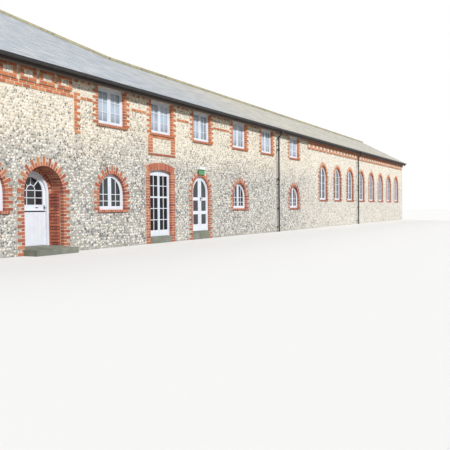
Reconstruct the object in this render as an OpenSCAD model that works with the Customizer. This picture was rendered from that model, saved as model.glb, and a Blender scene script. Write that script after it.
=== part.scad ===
// Flint and brick farm range.
// A long two-storey range of flint walls with brick dressings under one slate
// roof. Its near end is a deeper block, whose hipped roof keeps the same front
// slope, and its far end is one tall room lit by arched windows.
// The building faces -Y. X runs along the front, from the near end to the far end.
// Places along the front are measured from the outer face of the near end wall.

/* [Plan] */
// Length of the whole range along its front wall
range_length = 39720; // [39000:10:39800]
// Depth of the long range over its walls
range_depth = 6190; // [5600:10:7000]
// Length of the deeper block at the near end
block_length = 12090; // [11600:10:12400]
// Depth of the deeper block over its walls
block_depth = 11090; // [10000:10:12000]
// Thickness of the flint walls
wall_t = 500; // [470:10:560]

/* [Levels] */
// Top of the ground floor above the foot of the walls
floor_z = 150; // [100:10:155]
// Top of the upper floor
upper_floor_z = 2520; // [2450:10:2800]
// Thickness of the upper floor
upper_floor_t = 200; // [150:10:260]
// Place where the upper floor ends and the tall room begins
upper_floor_end = 19700; // [19000:10:20400]

/* [Roof] */
// Pitch of every slope in degrees
roof_pitch = 28; // [24:0.5:32]
// Overhang of the slates beyond the wall face
eaves_out = 270; // [240:10:300]
// Height of the slates at their lower edge
eaves_top = 4190; // [4180:10:4400]
// Thickness of rafters, battens and slates together
roof_t = 140; // [120:5:180]
// Thickness of the slates and battens alone
slate_t = 36; // [25:1:45]
// Overhang of the roof past each gable
verge_out = 50; // [30:5:80]
// Radius of the ridge and hip rolls
ridge_r = 95; // [70:5:130]
// Clearance between sloping faces that rest on each other
seat_gap = 0.3; // [0.2:0.1:0.6]

/* [Eaves] */
// Face of the fascia board beyond the wall
fascia_out = 215; // [190:5:225]
// Thickness of the fascia board
fascia_t = 25; // [18:1:40]
// Height of the fascia board
fascia_h = 150; // [130:5:170]
// Outer radius of the half-round gutter
gutter_r = 56; // [50:1:65]
// Thickness of the gutter
gutter_t = 5; // [3:0.5:8]
// Radius of the downpipes
pipe_r = 34; // [30:1:40]
// Radius of the collars at a downpipe's bends
pipe_collar_r = 42; // [41:1:50]
// Places of the two downpipes on the front
downpipe_x = [15890, 27560];
// Gap between the wall and a downpipe
pipe_gap = 30; // [20:1:50]
// Joint between two lengths of gutter or fascia at a corner
mitre_gap = 0.4; // [0.3:0.1:1]

/* [Brickwork] */
// Height of one brick course with its joint
course = 75; // [70:1:80]
// Length of a long brick in a toothed jamb
brick_long = 215; // [200:1:230]
// Length of a short brick in a toothed jamb
brick_short = 102; // [90:1:120]
// Height of the brick ring round an arch
ring_t = 205; // [190:1:220]
// Depth of the brick dressings into the wall
dressing_depth = 110; // [90:5:150]
// How far the dressings stand proud of the flints
dressing_proud = 10; // [5:1:20]
// Depth of the eaves course in front of the wall
eaves_course_out = 45; // [30:1:60]
// Length of the near stretch, which has flint panels under its eaves
strip_x = 3840; // [3830:10:3900]
// Distance between the panels under the near eaves
panel_pitch = 562; // [540:1:580]
// Gap between two of those panels
panel_gap = 90; // [70:5:110]
// Courses from the lacing course up to the eaves course
panel_courses = 4; // [3:1:4]
// Place where the far stretch of panels begins
far_panels_x = 19415; // [19300:5:19500]
// Distance from one far panel to the next
far_panel_pitch = 540; // [520:1:560]
// Courses in the height of each far panel
far_panel_courses = 3; // [2:1:4]
// Courses in the toothed strip down the wall where the near stretch ends
strip_courses = 13; // [11:1:15]
// Place on the front where the lacing course ends
lacing_end = 11700; // [11000:100:11700]
// Bottom of the brick panel below the second upper window
apron_z = 2500; // [2450:10:2540]
// Width of the brickwork on either side of that panel
apron_side = 230; // [210:10:250]
// How far the panel reaches past the window above it on each side
apron_reach = 160; // [120:10:180]

/* [Upper windows] */
// Centres of the upper windows
upper_window_x = [5250, 7530, 9840, 12520, 14930, 17820];
// Width of an upper window
upper_window_w = 1070; // [950:10:1100]
// Height of the brick sill's top
upper_sill_z = 3140; // [3050:10:3200]
// Gap between the heads of the upper windows and the eaves course
head_gap = 10; // [5:1:30]
// Height of a brick sill
sill_h = 60; // [50:5:75]
// How far a brick sill stands out
sill_out = 40; // [20:5:60]

/* [Arched windows] */
// Centres of the small arched windows on the yard side
yard_window_x = [1200, 5230, 12520, 17820];
// Width of a small arched window
yard_window_w = 1050; // [950:10:1100]
// Sill level of the small arched windows
yard_sill_z = 970; // [900:10:1050]
// Springing level of the small arched windows and of the first door
arch_spring_z = 1370; // [1330:10:1420]
// Centre of the first tall arched window
hall_window_x = 21680; // [21500:10:21800]
// Distance between the tall arched windows
hall_window_pitch = 2277; // [2200:1:2300]
// Number of tall arched windows
hall_window_count = 8; // [6:1:8]
// Width of a tall arched window
hall_window_w = 1100; // [1000:10:1150]
// Sill level of the tall arched windows
hall_sill_z = 1350; // [1200:10:1500]
// Springing level of the tall arched windows
hall_spring_z = 2470; // [2300:10:2600]
// Setback of the window frames from the wall face
window_setback = 70; // [50:5:90]
// Depth of a window frame
window_frame_d = 60; // [50:5:75]
// Width of a frame member
window_frame_w = 55; // [45:1:70]
// Thickness of the glass
glass_t = 6; // [4:1:10]

/* [First door] */
// Centre of the first doorway
door1_x = 2840; // [2800:10:2880]
// Width of its brick opening
door1_w = 1200; // [1150:10:1250]
// Depth of its brick reveal
door1_reveal = 360; // [320:5:370]
// Width of the brick rebate behind the arch
door1_rebate = 105; // [90:5:120]
// Depth of the rebate and of the door frame
door1_frame_d = 90; // [80:5:95]
// Split between the lower and the upper leaf
door1_split_z = 958; // [900:10:1000]
// Top of its stone sill
door1_sill_z = 160; // [155:5:175]
// Length of the stone step
step_w = 1300; // [1200:10:1500]
// Reach of the stone step in front of the wall
step_out = 400; // [340:10:500]
// Height of the stone step
step_h = 130; // [100:5:150]

/* [Garden doors] */
// Centre of the doorway with the flat arch
door3_x = 7445; // [7415:5:7475]
// Width of that doorway
door3_w = 1085; // [1045:5:1125]
// Springing level of its flat arch
door3_spring_z = 2040; // [2000:10:2080]
// Rise of its flat arch
door3_rise = 70; // [50:5:90]
// Top of its stone sill
door3_sill_z = 190; // [170:5:220]
// Setback of its frame
door3_setback = 70; // [55:5:90]
// Centre of the doorway with the round arch
door4_x = 9727; // [9700:1:9750]
// Width of that doorway
door4_w = 1040; // [1000:10:1060]
// Springing level of its round arch
door4_spring_z = 1490; // [1450:10:1520]
// Top of its stone sill
door4_sill_z = 260; // [230:5:280]
// Setback of its frame
door4_setback = 40; // [35:1:45]

/* [Joinery] */
// Width of a door frame member
frame_w = 45; // [40:1:60]
// Depth of the garden door frames
garden_frame_d = 75; // [70:1:90]
// Thickness of a door leaf
leaf_t = 45; // [40:1:50]
// Running gap round a door leaf
leaf_gap = 8; // [7:0.5:10]
// Gap between the two leaves of a garden door
meeting_gap = 12; // [11:0.5:15]
// Gap between a leaf and its stop
stop_gap = 5; // [5:0.5:8]
// Radius of a hinge's knuckles
hinge_r = 6; // [5:0.5:6.5]
// Distance of a hinge's pin from the face of its leaf
hinge_off = 7; // [6.5:0.5:9]
// Height of a whole hinge
hinge_h = 105; // [75:5:150]
// Length of a hinge's flaps
hinge_flap = 32; // [25:1:36]
// Thickness of a hinge's flaps
hinge_t = 4; // [3:0.5:5]
// Play between the knuckles of a hinge
hinge_play = 0.3; // [0.2:0.1:0.5]
// Lap of the stop behind a leaf
stop_lap = 15; // [12:1:20]
// Width of a leaf's stiles and top rail
stile_w = 85; // [70:1:100]
// Width of the stiles of a garden door's leaf
garden_stile_w = 62; // [55:1:75]
// Bottom of the glass in the first door
door1_glass_z = 1105; // [1080:5:1150]
// Bottom of the glass in the flat-arched doors
door3_glass_z = 370; // [330:10:450]
// Top of the glass of the flat-arched doors, level under their curved head
door3_glass_top = 1940; // [1900:10:1960]
// Width of the slim stiles of the flat-arched doors
door3_stile_w = 40; // [36:1:50]
// Bottom of the glass in the round-arched doors
door4_glass_z = 480; // [430:10:560]

/* [Exit lamp] */
// Length of the lamp box
lamp_w = 360; // [300:5:400]
// Height of the lamp box
lamp_h = 90; // [60:5:120]
// Depth of the lamp box
lamp_d = 90; // [70:5:100]
// Height of the green sign plate below it
sign_h = 165; // [160:5:190]
// Thickness of the sign plate
sign_t = 12; // [8:1:20]
// Bottom of the sign plate
sign_z = 2065; // [2060:5:2080]

/* [Hidden] */
$fn = 48;
// Fineness of the arches, whose flat ones have a large radius
arc_fn = 480;

// Colours as the daylight shows them
flint = [0.78, 0.75, 0.68];
brick = [0.72, 0.34, 0.2];
slate = [0.45, 0.48, 0.52];
stone = [0.6, 0.58, 0.53];
white_paint = [0.93, 0.94, 0.97];
black_paint = [0.08, 0.08, 0.09];
timber = [0.45, 0.33, 0.22];
pane = [0.12, 0.14, 0.16];
lamp_green = [0.1, 0.5, 0.25];

// Cuts run this far past a face so that they leave no skin
past = 50;
// Taller than any part of the roof
sky = eaves_top + block_depth;

// Roof geometry
slope = tan(roof_pitch);
roof_v = roof_t / cos(roof_pitch);
slate_v = slate_t / cos(roof_pitch);
rafter_out = fascia_out - fascia_t;
roof_start = -verge_out;
roof_end = range_length + verge_out;
roof_length = roof_end - roof_start;
range_ridge_y = range_depth / 2;
block_ridge_y = block_depth / 2;
block_eaves_x = block_length + eaves_out;
valley_top_x = block_eaves_x - (range_ridge_y + eaves_out);
hip_top_x = block_eaves_x - (block_ridge_y + eaves_out);
fascia_top = roof_top(-fascia_out) - slate_v - 5;
gutter_y = -fascia_out - gutter_r;
gutter_z = fascia_top - 8;
gutter_reach = fascia_out + 2 * gutter_r;
// The eaves course sits under the rafters, and the upper windows reach up to it
band_z = roof_under(-eaves_course_out) - course;
lacing_z = band_z - (panel_courses + 2) * course;
upper_head_z = band_z - head_gap;

// The origin is at the bottom centre of the whole building's box
front_reach = max(step_out, gutter_reach);
origin_x = range_length / 2;
origin_y = (block_depth + gutter_reach - front_reach) / 2;

// Openings as [centre, width, base, springing, rise]
door1 = [door1_x, door1_w, 0, arch_spring_z, door1_w / 2];
door3 = [door3_x, door3_w, 0, door3_spring_z, door3_rise];
door4 = [door4_x, door4_w, 0, door4_spring_z, door4_w / 2];
doors = [door1, door3, door4];
yard_windows = [for (x = yard_window_x) yard_window(x)];
upper_windows = [for (x = upper_window_x) upper_window(x)];
hall_windows = [for (i = [0:hall_window_count - 1]) hall_window(hall_window_x + i * hall_window_pitch)];

// The back of the long range repeats the windows beyond the deeper block
back_upper_windows = [for (x = upper_window_x) if (x > block_length + wall_t + upper_window_w) upper_window(x)];
back_yard_windows = [for (x = yard_window_x) if (x > block_length + wall_t + upper_window_w) yard_window(x)];

// The block's back and side walls repeat the same windows at even places
block_back_x = [for (i = [1:4]) i * block_length / 5];
block_side_x = [(block_depth - range_depth) / 2];

// Height of the slates' top, this far inside a wall's outer face
function roof_top(y) = eaves_top + (y + eaves_out) * slope;
function roof_under(y) = roof_top(y) - roof_v;
function wall_top(y) = roof_under(y) - seat_gap;
function yard_window(x) = [x, yard_window_w, yard_sill_z, arch_spring_z, yard_window_w / 2];
function upper_window(x) = [x, upper_window_w, upper_sill_z, upper_head_z, 0];
function hall_window(x) = [x, hall_window_w, hall_sill_z, hall_spring_z, hall_window_w / 2];
function arch_r(o) = (o[1] * o[1] / 4 + o[4] * o[4]) / (2 * o[4]);
function arch_centre_z(o) = o[3] + o[4] - arch_r(o);
// The same opening made smaller all round by a margin, with its own base level
function inset(o, m, base) = o[4] == 0
    ? [o[0], o[1] - 2 * m, base, o[3] - m, 0]
    : [o[0], o[1] - 2 * m, base, inset_spring(o, m), o[3] + o[4] - m - inset_spring(o, m)];
function inset_spring(o, m) = arch_centre_z(o) + sqrt(max(0, pow(arch_r(o) - m, 2) - pow(o[1] / 2 - m, 2)));

// Puts the building's own corner frame at the origin
module site() {
    translate([-origin_x, -origin_y, 0]) children();
}

// Stands a flat outline up as a slab that starts at depth y behind the front face
module upright(y, depth) {
    translate([0, y + depth, 0]) rotate([90, 0, 0]) linear_extrude(depth) children();
}

// Runs a cross-section, drawn as depth and height, along X
module along(length) {
    rotate([90, 0, 90]) linear_extrude(length) children();
}

// Places a wall-side piece on the back of the long range, facing +Y
module on_range_back() {
    translate([0, range_depth, 0]) mirror([0, 1, 0]) children();
}

// Places a wall-side piece on the back of the block, facing +Y
module on_block_back() {
    translate([0, block_depth, 0]) mirror([0, 1, 0]) children();
}

// Places a wall-side piece on the block's side, facing +X, from the range's back wall
module on_block_side() {
    translate([block_length, range_depth, 0]) rotate([0, 0, 90]) children();
}

// A straight round rod between two points
module rod(p, q, r, sides = 48) {
    d = q - p;
    run = sqrt(d[0] * d[0] + d[1] * d[1]);
    translate(p) rotate([0, atan2(run, d[2]), atan2(d[1], d[0])]) cylinder(h = norm(d), r = r, $fn = sides);
}

// Outline of an opening with a flat, a flat-arched or a round head
module opening_2d(o) {
    translate([o[0] - o[1] / 2, o[2]]) square([o[1], o[3] - o[2]]);
    if (o[4] > 0) intersection() {
        translate([o[0], arch_centre_z(o)]) circle(r = arch_r(o), $fn = arc_fn);
        translate([o[0] - o[1] / 2, o[3]]) square([o[1], o[4] + past]);
    }
}

// Plain ring of bricks on edge round a flat arch
module flat_ring_2d(o) {
    difference() {
        intersection() {
            translate([o[0], arch_centre_z(o)]) circle(r = arch_r(o) + ring_t, $fn = arc_fn);
            translate([o[0] - o[1] / 2 - ring_t, o[3]]) square([o[1] + 2 * ring_t, o[4] + 2 * ring_t]);
        }
        translate([o[0], arch_centre_z(o)]) circle(r = arch_r(o), $fn = arc_fn);
        translate([o[0] - o[1] / 2, o[3] - past]) square([o[1], past]);
    }
}

// Bricks on end fan out from a round arch's centre, long and short by turns.
// The first, the last and the crown brick are long, so their number is odd.
module fan_2d(o, grow) {
    r = o[1] / 2;
    count = 2 * round(r * PI / course / 2) - 1;
    step = 180 / count;
    twist = grow / r * 180 / PI;
    intersection() {
        translate([o[0], o[3]]) polygon([for (i = [0:count - 1], end = [0, 1]) let (
            reach = r + (i % 2 == 0 ? ring_t : brick_short) + grow,
            wider = (i % 2 == 0 ? twist : -twist) * (2 * end - 1),
            a = (i + end) * step - 90 + wider
        ) [reach * sin(a), reach * cos(a)]]);
        translate([o[0] - o[1], o[3]]) square([2 * o[1], 2 * o[1]]);
    }
}

module ring_2d(o) {
    difference() {
        fan_2d(o, 0);
        translate([o[0], o[3]]) circle(r = o[1] / 2, $fn = arc_fn);
    }
}

// One jamb of bricks, long and short by turns, that leaves the opening at x
module jamb_2d(x, side, base, top) {
    count = ceil((top - base) / course);
    steps = [for (i = [0:count - 1]) each [
        [x + side * jamb_reach(i), base + i * course],
        [x + side * jamb_reach(i), min(top, base + (i + 1) * course)]
    ]];
    polygon(concat([[x, base]], steps, [[x, top]]));
}
function jamb_reach(i) = i % 2 == 0 ? brick_long : brick_short;

module jambs_2d(o) {
    jamb_2d(o[0] - o[1] / 2, -1, o[2], o[3]);
    jamb_2d(o[0] + o[1] / 2, 1, o[2], o[3]);
}

// Two jambs of one width from top to bottom, as wide as the flat arch on them
module straight_jambs_2d(o) {
    for (side = [0, 1])
        translate([o[0] - o[1] / 2 - ring_t + side * (o[1] + ring_t), 0]) square([ring_t, o[3]]);
}

// The brick surround of an opening: two toothed jambs and, on an arch, its ring
module dressing_2d(o) {
    jambs_2d(o);
    if (o[4] > 0) ring_2d(o);
}

// Brick surrounds of a list of openings, set into the wall and a little proud of it
module dressings(list, depth) {
    for (o = list) upright(-dressing_proud, dressing_proud + depth) dressing_2d(o);
}

module dressing_pockets(list, depth) {
    for (o = list) upright(-past, past + depth) {
        jambs_2d(o);
        if (o[4] > 0) fan_2d(o, seat_gap);
    }
}

// All openings of the front wall, and the pockets for its brickwork
module front_cuts() {
    opening_cuts(doors);
    opening_cuts(yard_windows);
    opening_cuts(upper_windows);
    dressing_pockets([door1], door1_reveal);
    dressing_pockets([door4], dressing_depth);
    dressing_pockets(yard_windows, dressing_depth);
    dressing_pockets(upper_windows, dressing_depth);
    upright(-past, past + dressing_depth) {
        straight_jambs_2d(door3);
        flat_ring_2d(door3);
        apron_2d();
        lacing_2d();
    }
}

module opening_cuts(list) {
    for (o = list) upright(-past, wall_t + 2 * past) opening_2d(o);
}

// A length of eaves wall with its top cut to the underside of the roof
module wall_run(x0, x1) {
    translate([x0, 0, 0]) along(x1 - x0)
        polygon([[0, 0], [wall_t, 0], [wall_t, wall_top(wall_t)], [0, wall_top(0)]]);
}

// The block of walling over a doorway, from its springing up
module head_block(o, grow) {
    half = o[1] / 2 + ring_t + brick_short;
    translate([o[0] - half, -grow, o[3]]) cube([2 * half, wall_t + 2 * grow, sky]);
}

// A stretch of the front wall between two places, without what the doorways take
module front_wall(x0, x1) {
    color(flint) site() difference() {
        wall_run(x0, x1);
        for (o = doors) head_block(o, past);
        front_cuts();
        opening_cuts(hall_windows);
        dressing_pockets(hall_windows, dressing_depth);
    }
}

// The walling over one doorway
module front_head(o) {
    color(flint) site() difference() {
        intersection() {
            wall_run(0, range_length);
            head_block(o, past);
        }
        front_cuts();
    }
}

module front_wall_near() { front_wall(0, door1_x); }
module door1_head() { front_head(door1); }
module front_wall_second() { front_wall(door1_x, door3_x); }
module door3_head() { front_head(door3); }
module front_wall_third() { front_wall(door3_x, door4_x); }
module door4_head() { front_head(door4); }
module front_wall_middle() { front_wall(door4_x, upper_floor_end); }
module front_wall_far() { front_wall(upper_floor_end, range_length); }

// Gable cross-section between the two eaves walls
module gable_2d(depth) {
    polygon([
        [wall_t, 0], [depth - wall_t, 0], [depth - wall_t, wall_top(wall_t)],
        [depth / 2, wall_top(depth / 2)], [wall_t, wall_top(wall_t)]
    ]);
}

module far_end_wall() {
    color(flint) site() translate([range_length - wall_t, 0, 0]) along(wall_t) gable_2d(range_depth);
}

module near_end_wall() {
    color(flint) site() along(wall_t) gable_2d(block_depth);
}

module range_back_wall() {
    color(flint) site() on_range_back() difference() {
        wall_run(block_length - wall_t, range_length);
        opening_cuts(back_upper_windows);
        opening_cuts(back_yard_windows);
        opening_cuts(hall_windows);
        dressing_pockets(back_upper_windows, dressing_depth);
        dressing_pockets(back_yard_windows, dressing_depth);
        dressing_pockets(hall_windows, dressing_depth);
    }
}

module block_side_wall() {
    color(flint) site() on_block_side() difference() {
        wall_run(0, block_depth - range_depth - wall_t);
        opening_cuts([for (x = block_side_x) upper_window(x)]);
        opening_cuts([for (x = block_side_x) yard_window(x)]);
        dressing_pockets([for (x = block_side_x) upper_window(x)], dressing_depth);
        dressing_pockets([for (x = block_side_x) yard_window(x)], dressing_depth);
    }
}

// Everything above the underside of the block's side slope, near its back corner
module above_side_slope() {
    translate([block_length, block_depth - 2 * wall_t, 0]) rotate([0, 0, 90]) along(4 * wall_t)
        polygon([[-wall_t, wall_top(-wall_t)], [2 * wall_t, wall_top(2 * wall_t)],
            [2 * wall_t, sky], [-wall_t, sky]]);
}

module block_back_wall() {
    color(flint) site() difference() {
        on_block_back() block_back_walling();
        above_side_slope();
    }
}

module block_back_walling() {
    difference() {
        wall_run(0, block_length);
        opening_cuts([for (x = block_back_x) upper_window(x)]);
        opening_cuts([for (x = block_back_x) yard_window(x)]);
        dressing_pockets([for (x = block_back_x) upper_window(x)], dressing_depth);
        dressing_pockets([for (x = block_back_x) yard_window(x)], dressing_depth);
    }
}

// Floor outline inside the walls, from the near end to x_end
module floor_2d(x_end) {
    polygon([
        [wall_t, wall_t], [x_end, wall_t], [x_end, range_depth - wall_t],
        [block_length - wall_t, range_depth - wall_t], [block_length - wall_t, block_depth - wall_t],
        [wall_t, block_depth - wall_t]
    ]);
}

module ground_floor() {
    color(stone) site() linear_extrude(floor_z) floor_2d(range_length - wall_t);
}

module upper_floor() {
    color(timber) site() translate([0, 0, upper_floor_z - upper_floor_t])
        linear_extrude(upper_floor_t) floor_2d(upper_floor_end - upper_floor_t);
}

module floor_edge_beam() {
    color(timber) site()
        translate([upper_floor_end - upper_floor_t, wall_t, upper_floor_z - 1.5 * upper_floor_t])
        cube([upper_floor_t, range_depth - 2 * wall_t, 1.5 * upper_floor_t]);
}

// Cross-section of one slope: slates reach past the fascia, rafters stop behind it
module slope_2d(y_top) {
    polygon([
        [-eaves_out, roof_top(-eaves_out)], [y_top, roof_top(y_top)], [y_top, roof_under(y_top)],
        [-rafter_out, roof_under(-rafter_out)], [-rafter_out, roof_top(-rafter_out) - slate_v],
        [-eaves_out, roof_top(-eaves_out) - slate_v]
    ]);
}

// A cross-section carried along the whole roof, from verge to verge
module roof_run() {
    translate([roof_start, 0, 0]) along(roof_length) children();
}

module roof_front() {
    color(slate) site() intersection() {
        linear_extrude(sky) polygon([
            [roof_start, -eaves_out], [roof_end, -eaves_out], [roof_end, range_ridge_y],
            [valley_top_x, range_ridge_y], [hip_top_x, block_ridge_y], [roof_start, block_ridge_y]
        ]);
        roof_run() slope_2d(block_ridge_y);
    }
}

module roof_range_back() {
    color(slate) site() intersection() {
        linear_extrude(sky) polygon([
            [valley_top_x, range_ridge_y], [roof_end, range_ridge_y],
            [roof_end, range_depth + eaves_out], [block_eaves_x, range_depth + eaves_out]
        ]);
        on_range_back() roof_run() slope_2d(range_ridge_y);
    }
}

module roof_block_side() {
    color(slate) site() intersection() {
        linear_extrude(sky) polygon([
            [hip_top_x, block_ridge_y], [valley_top_x, range_ridge_y],
            [block_eaves_x, range_depth + eaves_out], [block_eaves_x, block_depth + eaves_out]
        ]);
        translate([block_length, 0, 0]) rotate([0, 0, 90])
            along(block_depth + eaves_out) slope_2d(block_ridge_y);
    }
}

module roof_block_back() {
    color(slate) site() intersection() {
        linear_extrude(sky) polygon([
            [roof_start, block_ridge_y], [hip_top_x, block_ridge_y],
            [block_eaves_x, block_depth + eaves_out], [roof_start, block_depth + eaves_out]
        ]);
        on_block_back() roof_run() slope_2d(block_ridge_y);
    }
}

// Everything up to the seat of the rolls on one slope
module below_slates_2d(y_top) {
    polygon([
        [-eaves_out - eaves_top / slope, 0], [y_top, 0],
        [y_top, roof_top(y_top) + seat_gap], [-eaves_out - eaves_top / slope, seat_gap]
    ]);
}

// Everything under the roof, which the rolls are cut to
module under_roof() {
    intersection() {
        translate([roof_start - past, 0, 0]) along(roof_length + 2 * past) below_slates_2d(range_depth);
        on_range_back() translate([roof_start - past, 0, 0]) along(roof_length + 2 * past)
            below_slates_2d(range_depth);
    }
    intersection() {
        translate([roof_start - past, 0, 0]) along(block_depth + block_length) below_slates_2d(2 * block_depth);
        on_block_back() translate([roof_start - past, 0, 0]) along(block_depth + block_length)
            below_slates_2d(block_depth);
        translate([block_length, -sky, 0]) rotate([0, 0, 90])
            along(3 * sky) below_slates_2d(block_length + past);
    }
}

module ridge_and_hip_rolls() {
    range_end = [valley_top_x, range_ridge_y, roof_top(range_ridge_y)];
    block_end = [hip_top_x, block_ridge_y, roof_top(block_ridge_y)];
    hip_foot = [block_eaves_x + ridge_r, block_depth + eaves_out + ridge_r, eaves_top - ridge_r * slope];
    color(slate) site() difference() {
        union() {
            rod(range_end, [roof_end, range_ridge_y, range_end[2]], ridge_r, 12);
            rod([roof_start, block_ridge_y, block_end[2]], block_end, ridge_r, 12);
            rod(block_end, range_end, ridge_r, 12);
            intersection() {
                rod(block_end, hip_foot, ridge_r, 12);
                cube([block_eaves_x, block_depth + eaves_out, sky]);
            }
        }
        under_roof();
    }
}

// Trims a run along an eaves to its two ends; a turn of 1 cuts that end at 45 degrees
module between_corners(x0, turn0, x1, turn1) {
    reach = gutter_reach + past;
    start = x0 + turn0 * mitre_gap / 2;
    finish = x1 - turn1 * mitre_gap / 2;
    intersection() {
        translate([x0, 0, 0]) children();
        linear_extrude(sky) polygon([
            [start, 0], [start + turn0 * reach, -reach], [finish + turn1 * reach, -reach], [finish, 0]
        ]);
    }
}

// One run of fascia board in front of an eaves wall
module fascia_run(x0, turn0, x1, turn1) {
    between_corners(x0, turn0, x1, turn1)
        translate([0, -fascia_out, fascia_top - fascia_h]) cube([x1 - x0 + eaves_out, fascia_t, fascia_h]);
}

module gutter_2d() {
    translate([gutter_y, gutter_z]) difference() {
        circle(r = gutter_r);
        circle(r = gutter_r - gutter_t);
        translate([-2 * gutter_r, 0]) square([4 * gutter_r, 2 * gutter_r]);
    }
}

module gutter_run(x0, turn0, x1, turn1) {
    between_corners(x0, turn0, x1, turn1) along(x1 - x0 + gutter_reach) gutter_2d();
}

module fascia_boards() {
    color(black_paint) site() {
        fascia_run(roof_start, 0, roof_end, 0);
        on_range_back() fascia_run(block_length, 1, roof_end, 0);
        on_block_side() fascia_run(0, 1, block_depth - range_depth, 1);
        on_block_back() fascia_run(roof_start, 0, block_length, 1);
    }
}

module gutters() {
    color(black_paint) site() {
        gutter_run(roof_start, 0, roof_end, 0);
        on_range_back() gutter_run(block_length, 1, roof_end, 0);
        on_block_side() gutter_run(0, 1, block_depth - range_depth, 1);
        on_block_back() gutter_run(roof_start, 0, block_length, 1);
    }
}

// A downpipe with its swan neck below the gutter, standing off the wall
module downpipe(x) {
    pipe_y = -pipe_gap - pipe_r - eaves_course_out;
    neck_top = fascia_top - fascia_h - 5;
    neck_low = neck_top - (pipe_y - gutter_y);
    rod([x, gutter_y, gutter_z - gutter_r - seat_gap], [x, gutter_y, neck_top], pipe_r);
    translate([x, gutter_y, neck_top]) sphere(r = pipe_collar_r);
    rod([x, gutter_y, neck_top], [x, pipe_y, neck_low], pipe_r);
    translate([x, pipe_y, neck_low]) sphere(r = pipe_collar_r);
    rod([x, pipe_y, neck_low], [x, pipe_y, 0], pipe_r);
    for (z = [neck_low - 10 * pipe_r, neck_low / 2, 5 * pipe_r])
        translate([x - pipe_r, pipe_y, z]) cube([2 * pipe_r, -pipe_y, pipe_r]);
}

module downpipes() {
    color(black_paint) site() for (x = downpipe_x) downpipe(x);
}

// Corbelled eaves course with one brick out and one in below it
module eaves_course() {
    pitch = 3 * course;
    teeth = floor((far_panels_x - strip_x) / pitch);
    color(brick) site() difference() {
        upright(-eaves_course_out, eaves_course_out) {
            translate([strip_x, band_z]) square([range_length - strip_x, course]);
            for (i = [0:teeth - 1])
                translate([strip_x + i * pitch, band_z - course]) square([1.5 * course, course]);
        }
        for (x = upper_window_x)
            translate([x - upper_window_w / 2 - brick_long, -2 * eaves_course_out, band_z - 2 * course])
            cube([upper_window_w + 2 * brick_long, 3 * eaves_course_out, 2 * course]);
    }
}

// Near stretch of the eaves course, over flint panels that stand out as far
module near_eaves_course() {
    panel = panel_pitch - panel_gap;
    count = floor((strip_x + panel_gap) / panel_pitch);
    color(brick) site() upright(-eaves_course_out, eaves_course_out) {
        translate([0, band_z]) square([strip_x, course]);
        for (i = [1:count])
            translate([strip_x - i * panel_pitch, band_z - panel_courses * course])
            square([panel, panel_courses * course]);
    }
}

// Far stretch of the eaves course: two more courses of band, carried on short panels
module far_eaves_course() {
    panel = far_panel_pitch - panel_gap;
    count = floor((range_length - far_panels_x + panel_gap) / far_panel_pitch);
    base = band_z - 2 * course;
    color(brick) site() upright(-eaves_course_out, eaves_course_out) {
        translate([far_panels_x, base]) square([range_length - far_panels_x, 2 * course]);
        for (i = [0:count - 1])
            translate([far_panels_x + i * far_panel_pitch, base - far_panel_courses * course])
            square([panel, far_panel_courses * course]);
    }
}

// Two lacing courses on the near stretch, one beyond it, and the toothed strip between them
module lacing_2d() {
    square_to(0, lacing_z, strip_x, lacing_z + 2 * course);
    jamb_2d(strip_x, 1, lacing_z + (2 - strip_courses) * course, lacing_z + 2 * course);
    difference() {
        square_to(strip_x, lacing_z, lacing_end, lacing_z + course);
        for (o = upper_windows) {
            opening_2d(o);
            jambs_2d(o);
        }
    }
}

module square_to(x0, z0, x1, z1) {
    translate([x0, z0]) square([x1 - x0, z1 - z0]);
}

module brick_lacing() {
    color(brick) site() upright(-dressing_proud, dressing_proud + dressing_depth) lacing_2d();
}

// Brickwork round the panel below the second upper window
module apron_2d() {
    x = upper_window_x[1];
    half = upper_window_w / 2 + apron_reach;
    top = upper_sill_z - sill_h;
    difference() {
        square_to(x - half, apron_z, x + half, top);
        square_to(x - half + apron_side, apron_z + course, x + half - apron_side, top - course);
    }
}

module door_arch_rings() {
    color(brick) site() {
        upright(-dressing_proud, dressing_proud + door1_reveal) ring_2d(door1);
        upright(-dressing_proud, dressing_proud + dressing_depth) flat_ring_2d(door3);
        upright(-dressing_proud, dressing_proud + dressing_depth) ring_2d(door4);
    }
}

module door_jambs() {
    color(brick) site() {
        upright(-dressing_proud, dressing_proud + door1_reveal) jambs_2d(door1);
        upright(-dressing_proud, dressing_proud + dressing_depth) straight_jambs_2d(door3);
        upright(-dressing_proud, dressing_proud + dressing_depth) jambs_2d(door4);
    }
}

module yard_window_dressings() {
    color(brick) site() {
        dressings(yard_windows, dressing_depth);
        on_range_back() dressings(back_yard_windows, dressing_depth);
        on_block_side() dressings([for (x = block_side_x) yard_window(x)], dressing_depth);
        on_block_back() dressings([for (x = block_back_x) yard_window(x)], dressing_depth);
    }
}

module hall_window_dressings() {
    color(brick) site() {
        dressings(hall_windows, dressing_depth);
        on_range_back() dressings(hall_windows, dressing_depth);
    }
}

module upper_window_dressings() {
    color(brick) site() {
        dressings(upper_windows, dressing_depth);
        upright(-dressing_proud, dressing_proud + dressing_depth) apron_2d();
        on_range_back() dressings(back_upper_windows, dressing_depth);
        on_block_side() dressings([for (x = block_side_x) upper_window(x)], dressing_depth);
        on_block_back() dressings([for (x = block_back_x) upper_window(x)], dressing_depth);
    }
}

// Brick sills that stand out in front of the wall, under each opening
module sills(list) {
    for (o = list)
        translate([o[0] - o[1] / 2 - brick_short, -sill_out, o[2] - sill_h])
        cube([o[1] + 2 * brick_short, sill_out, sill_h]);
}

module upper_window_sills() {
    color(brick) site() {
        sills(upper_windows);
        on_range_back() sills(back_upper_windows);
        on_block_side() sills([for (x = block_side_x) upper_window(x)]);
        on_block_back() sills([for (x = block_back_x) upper_window(x)]);
    }
}

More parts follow.
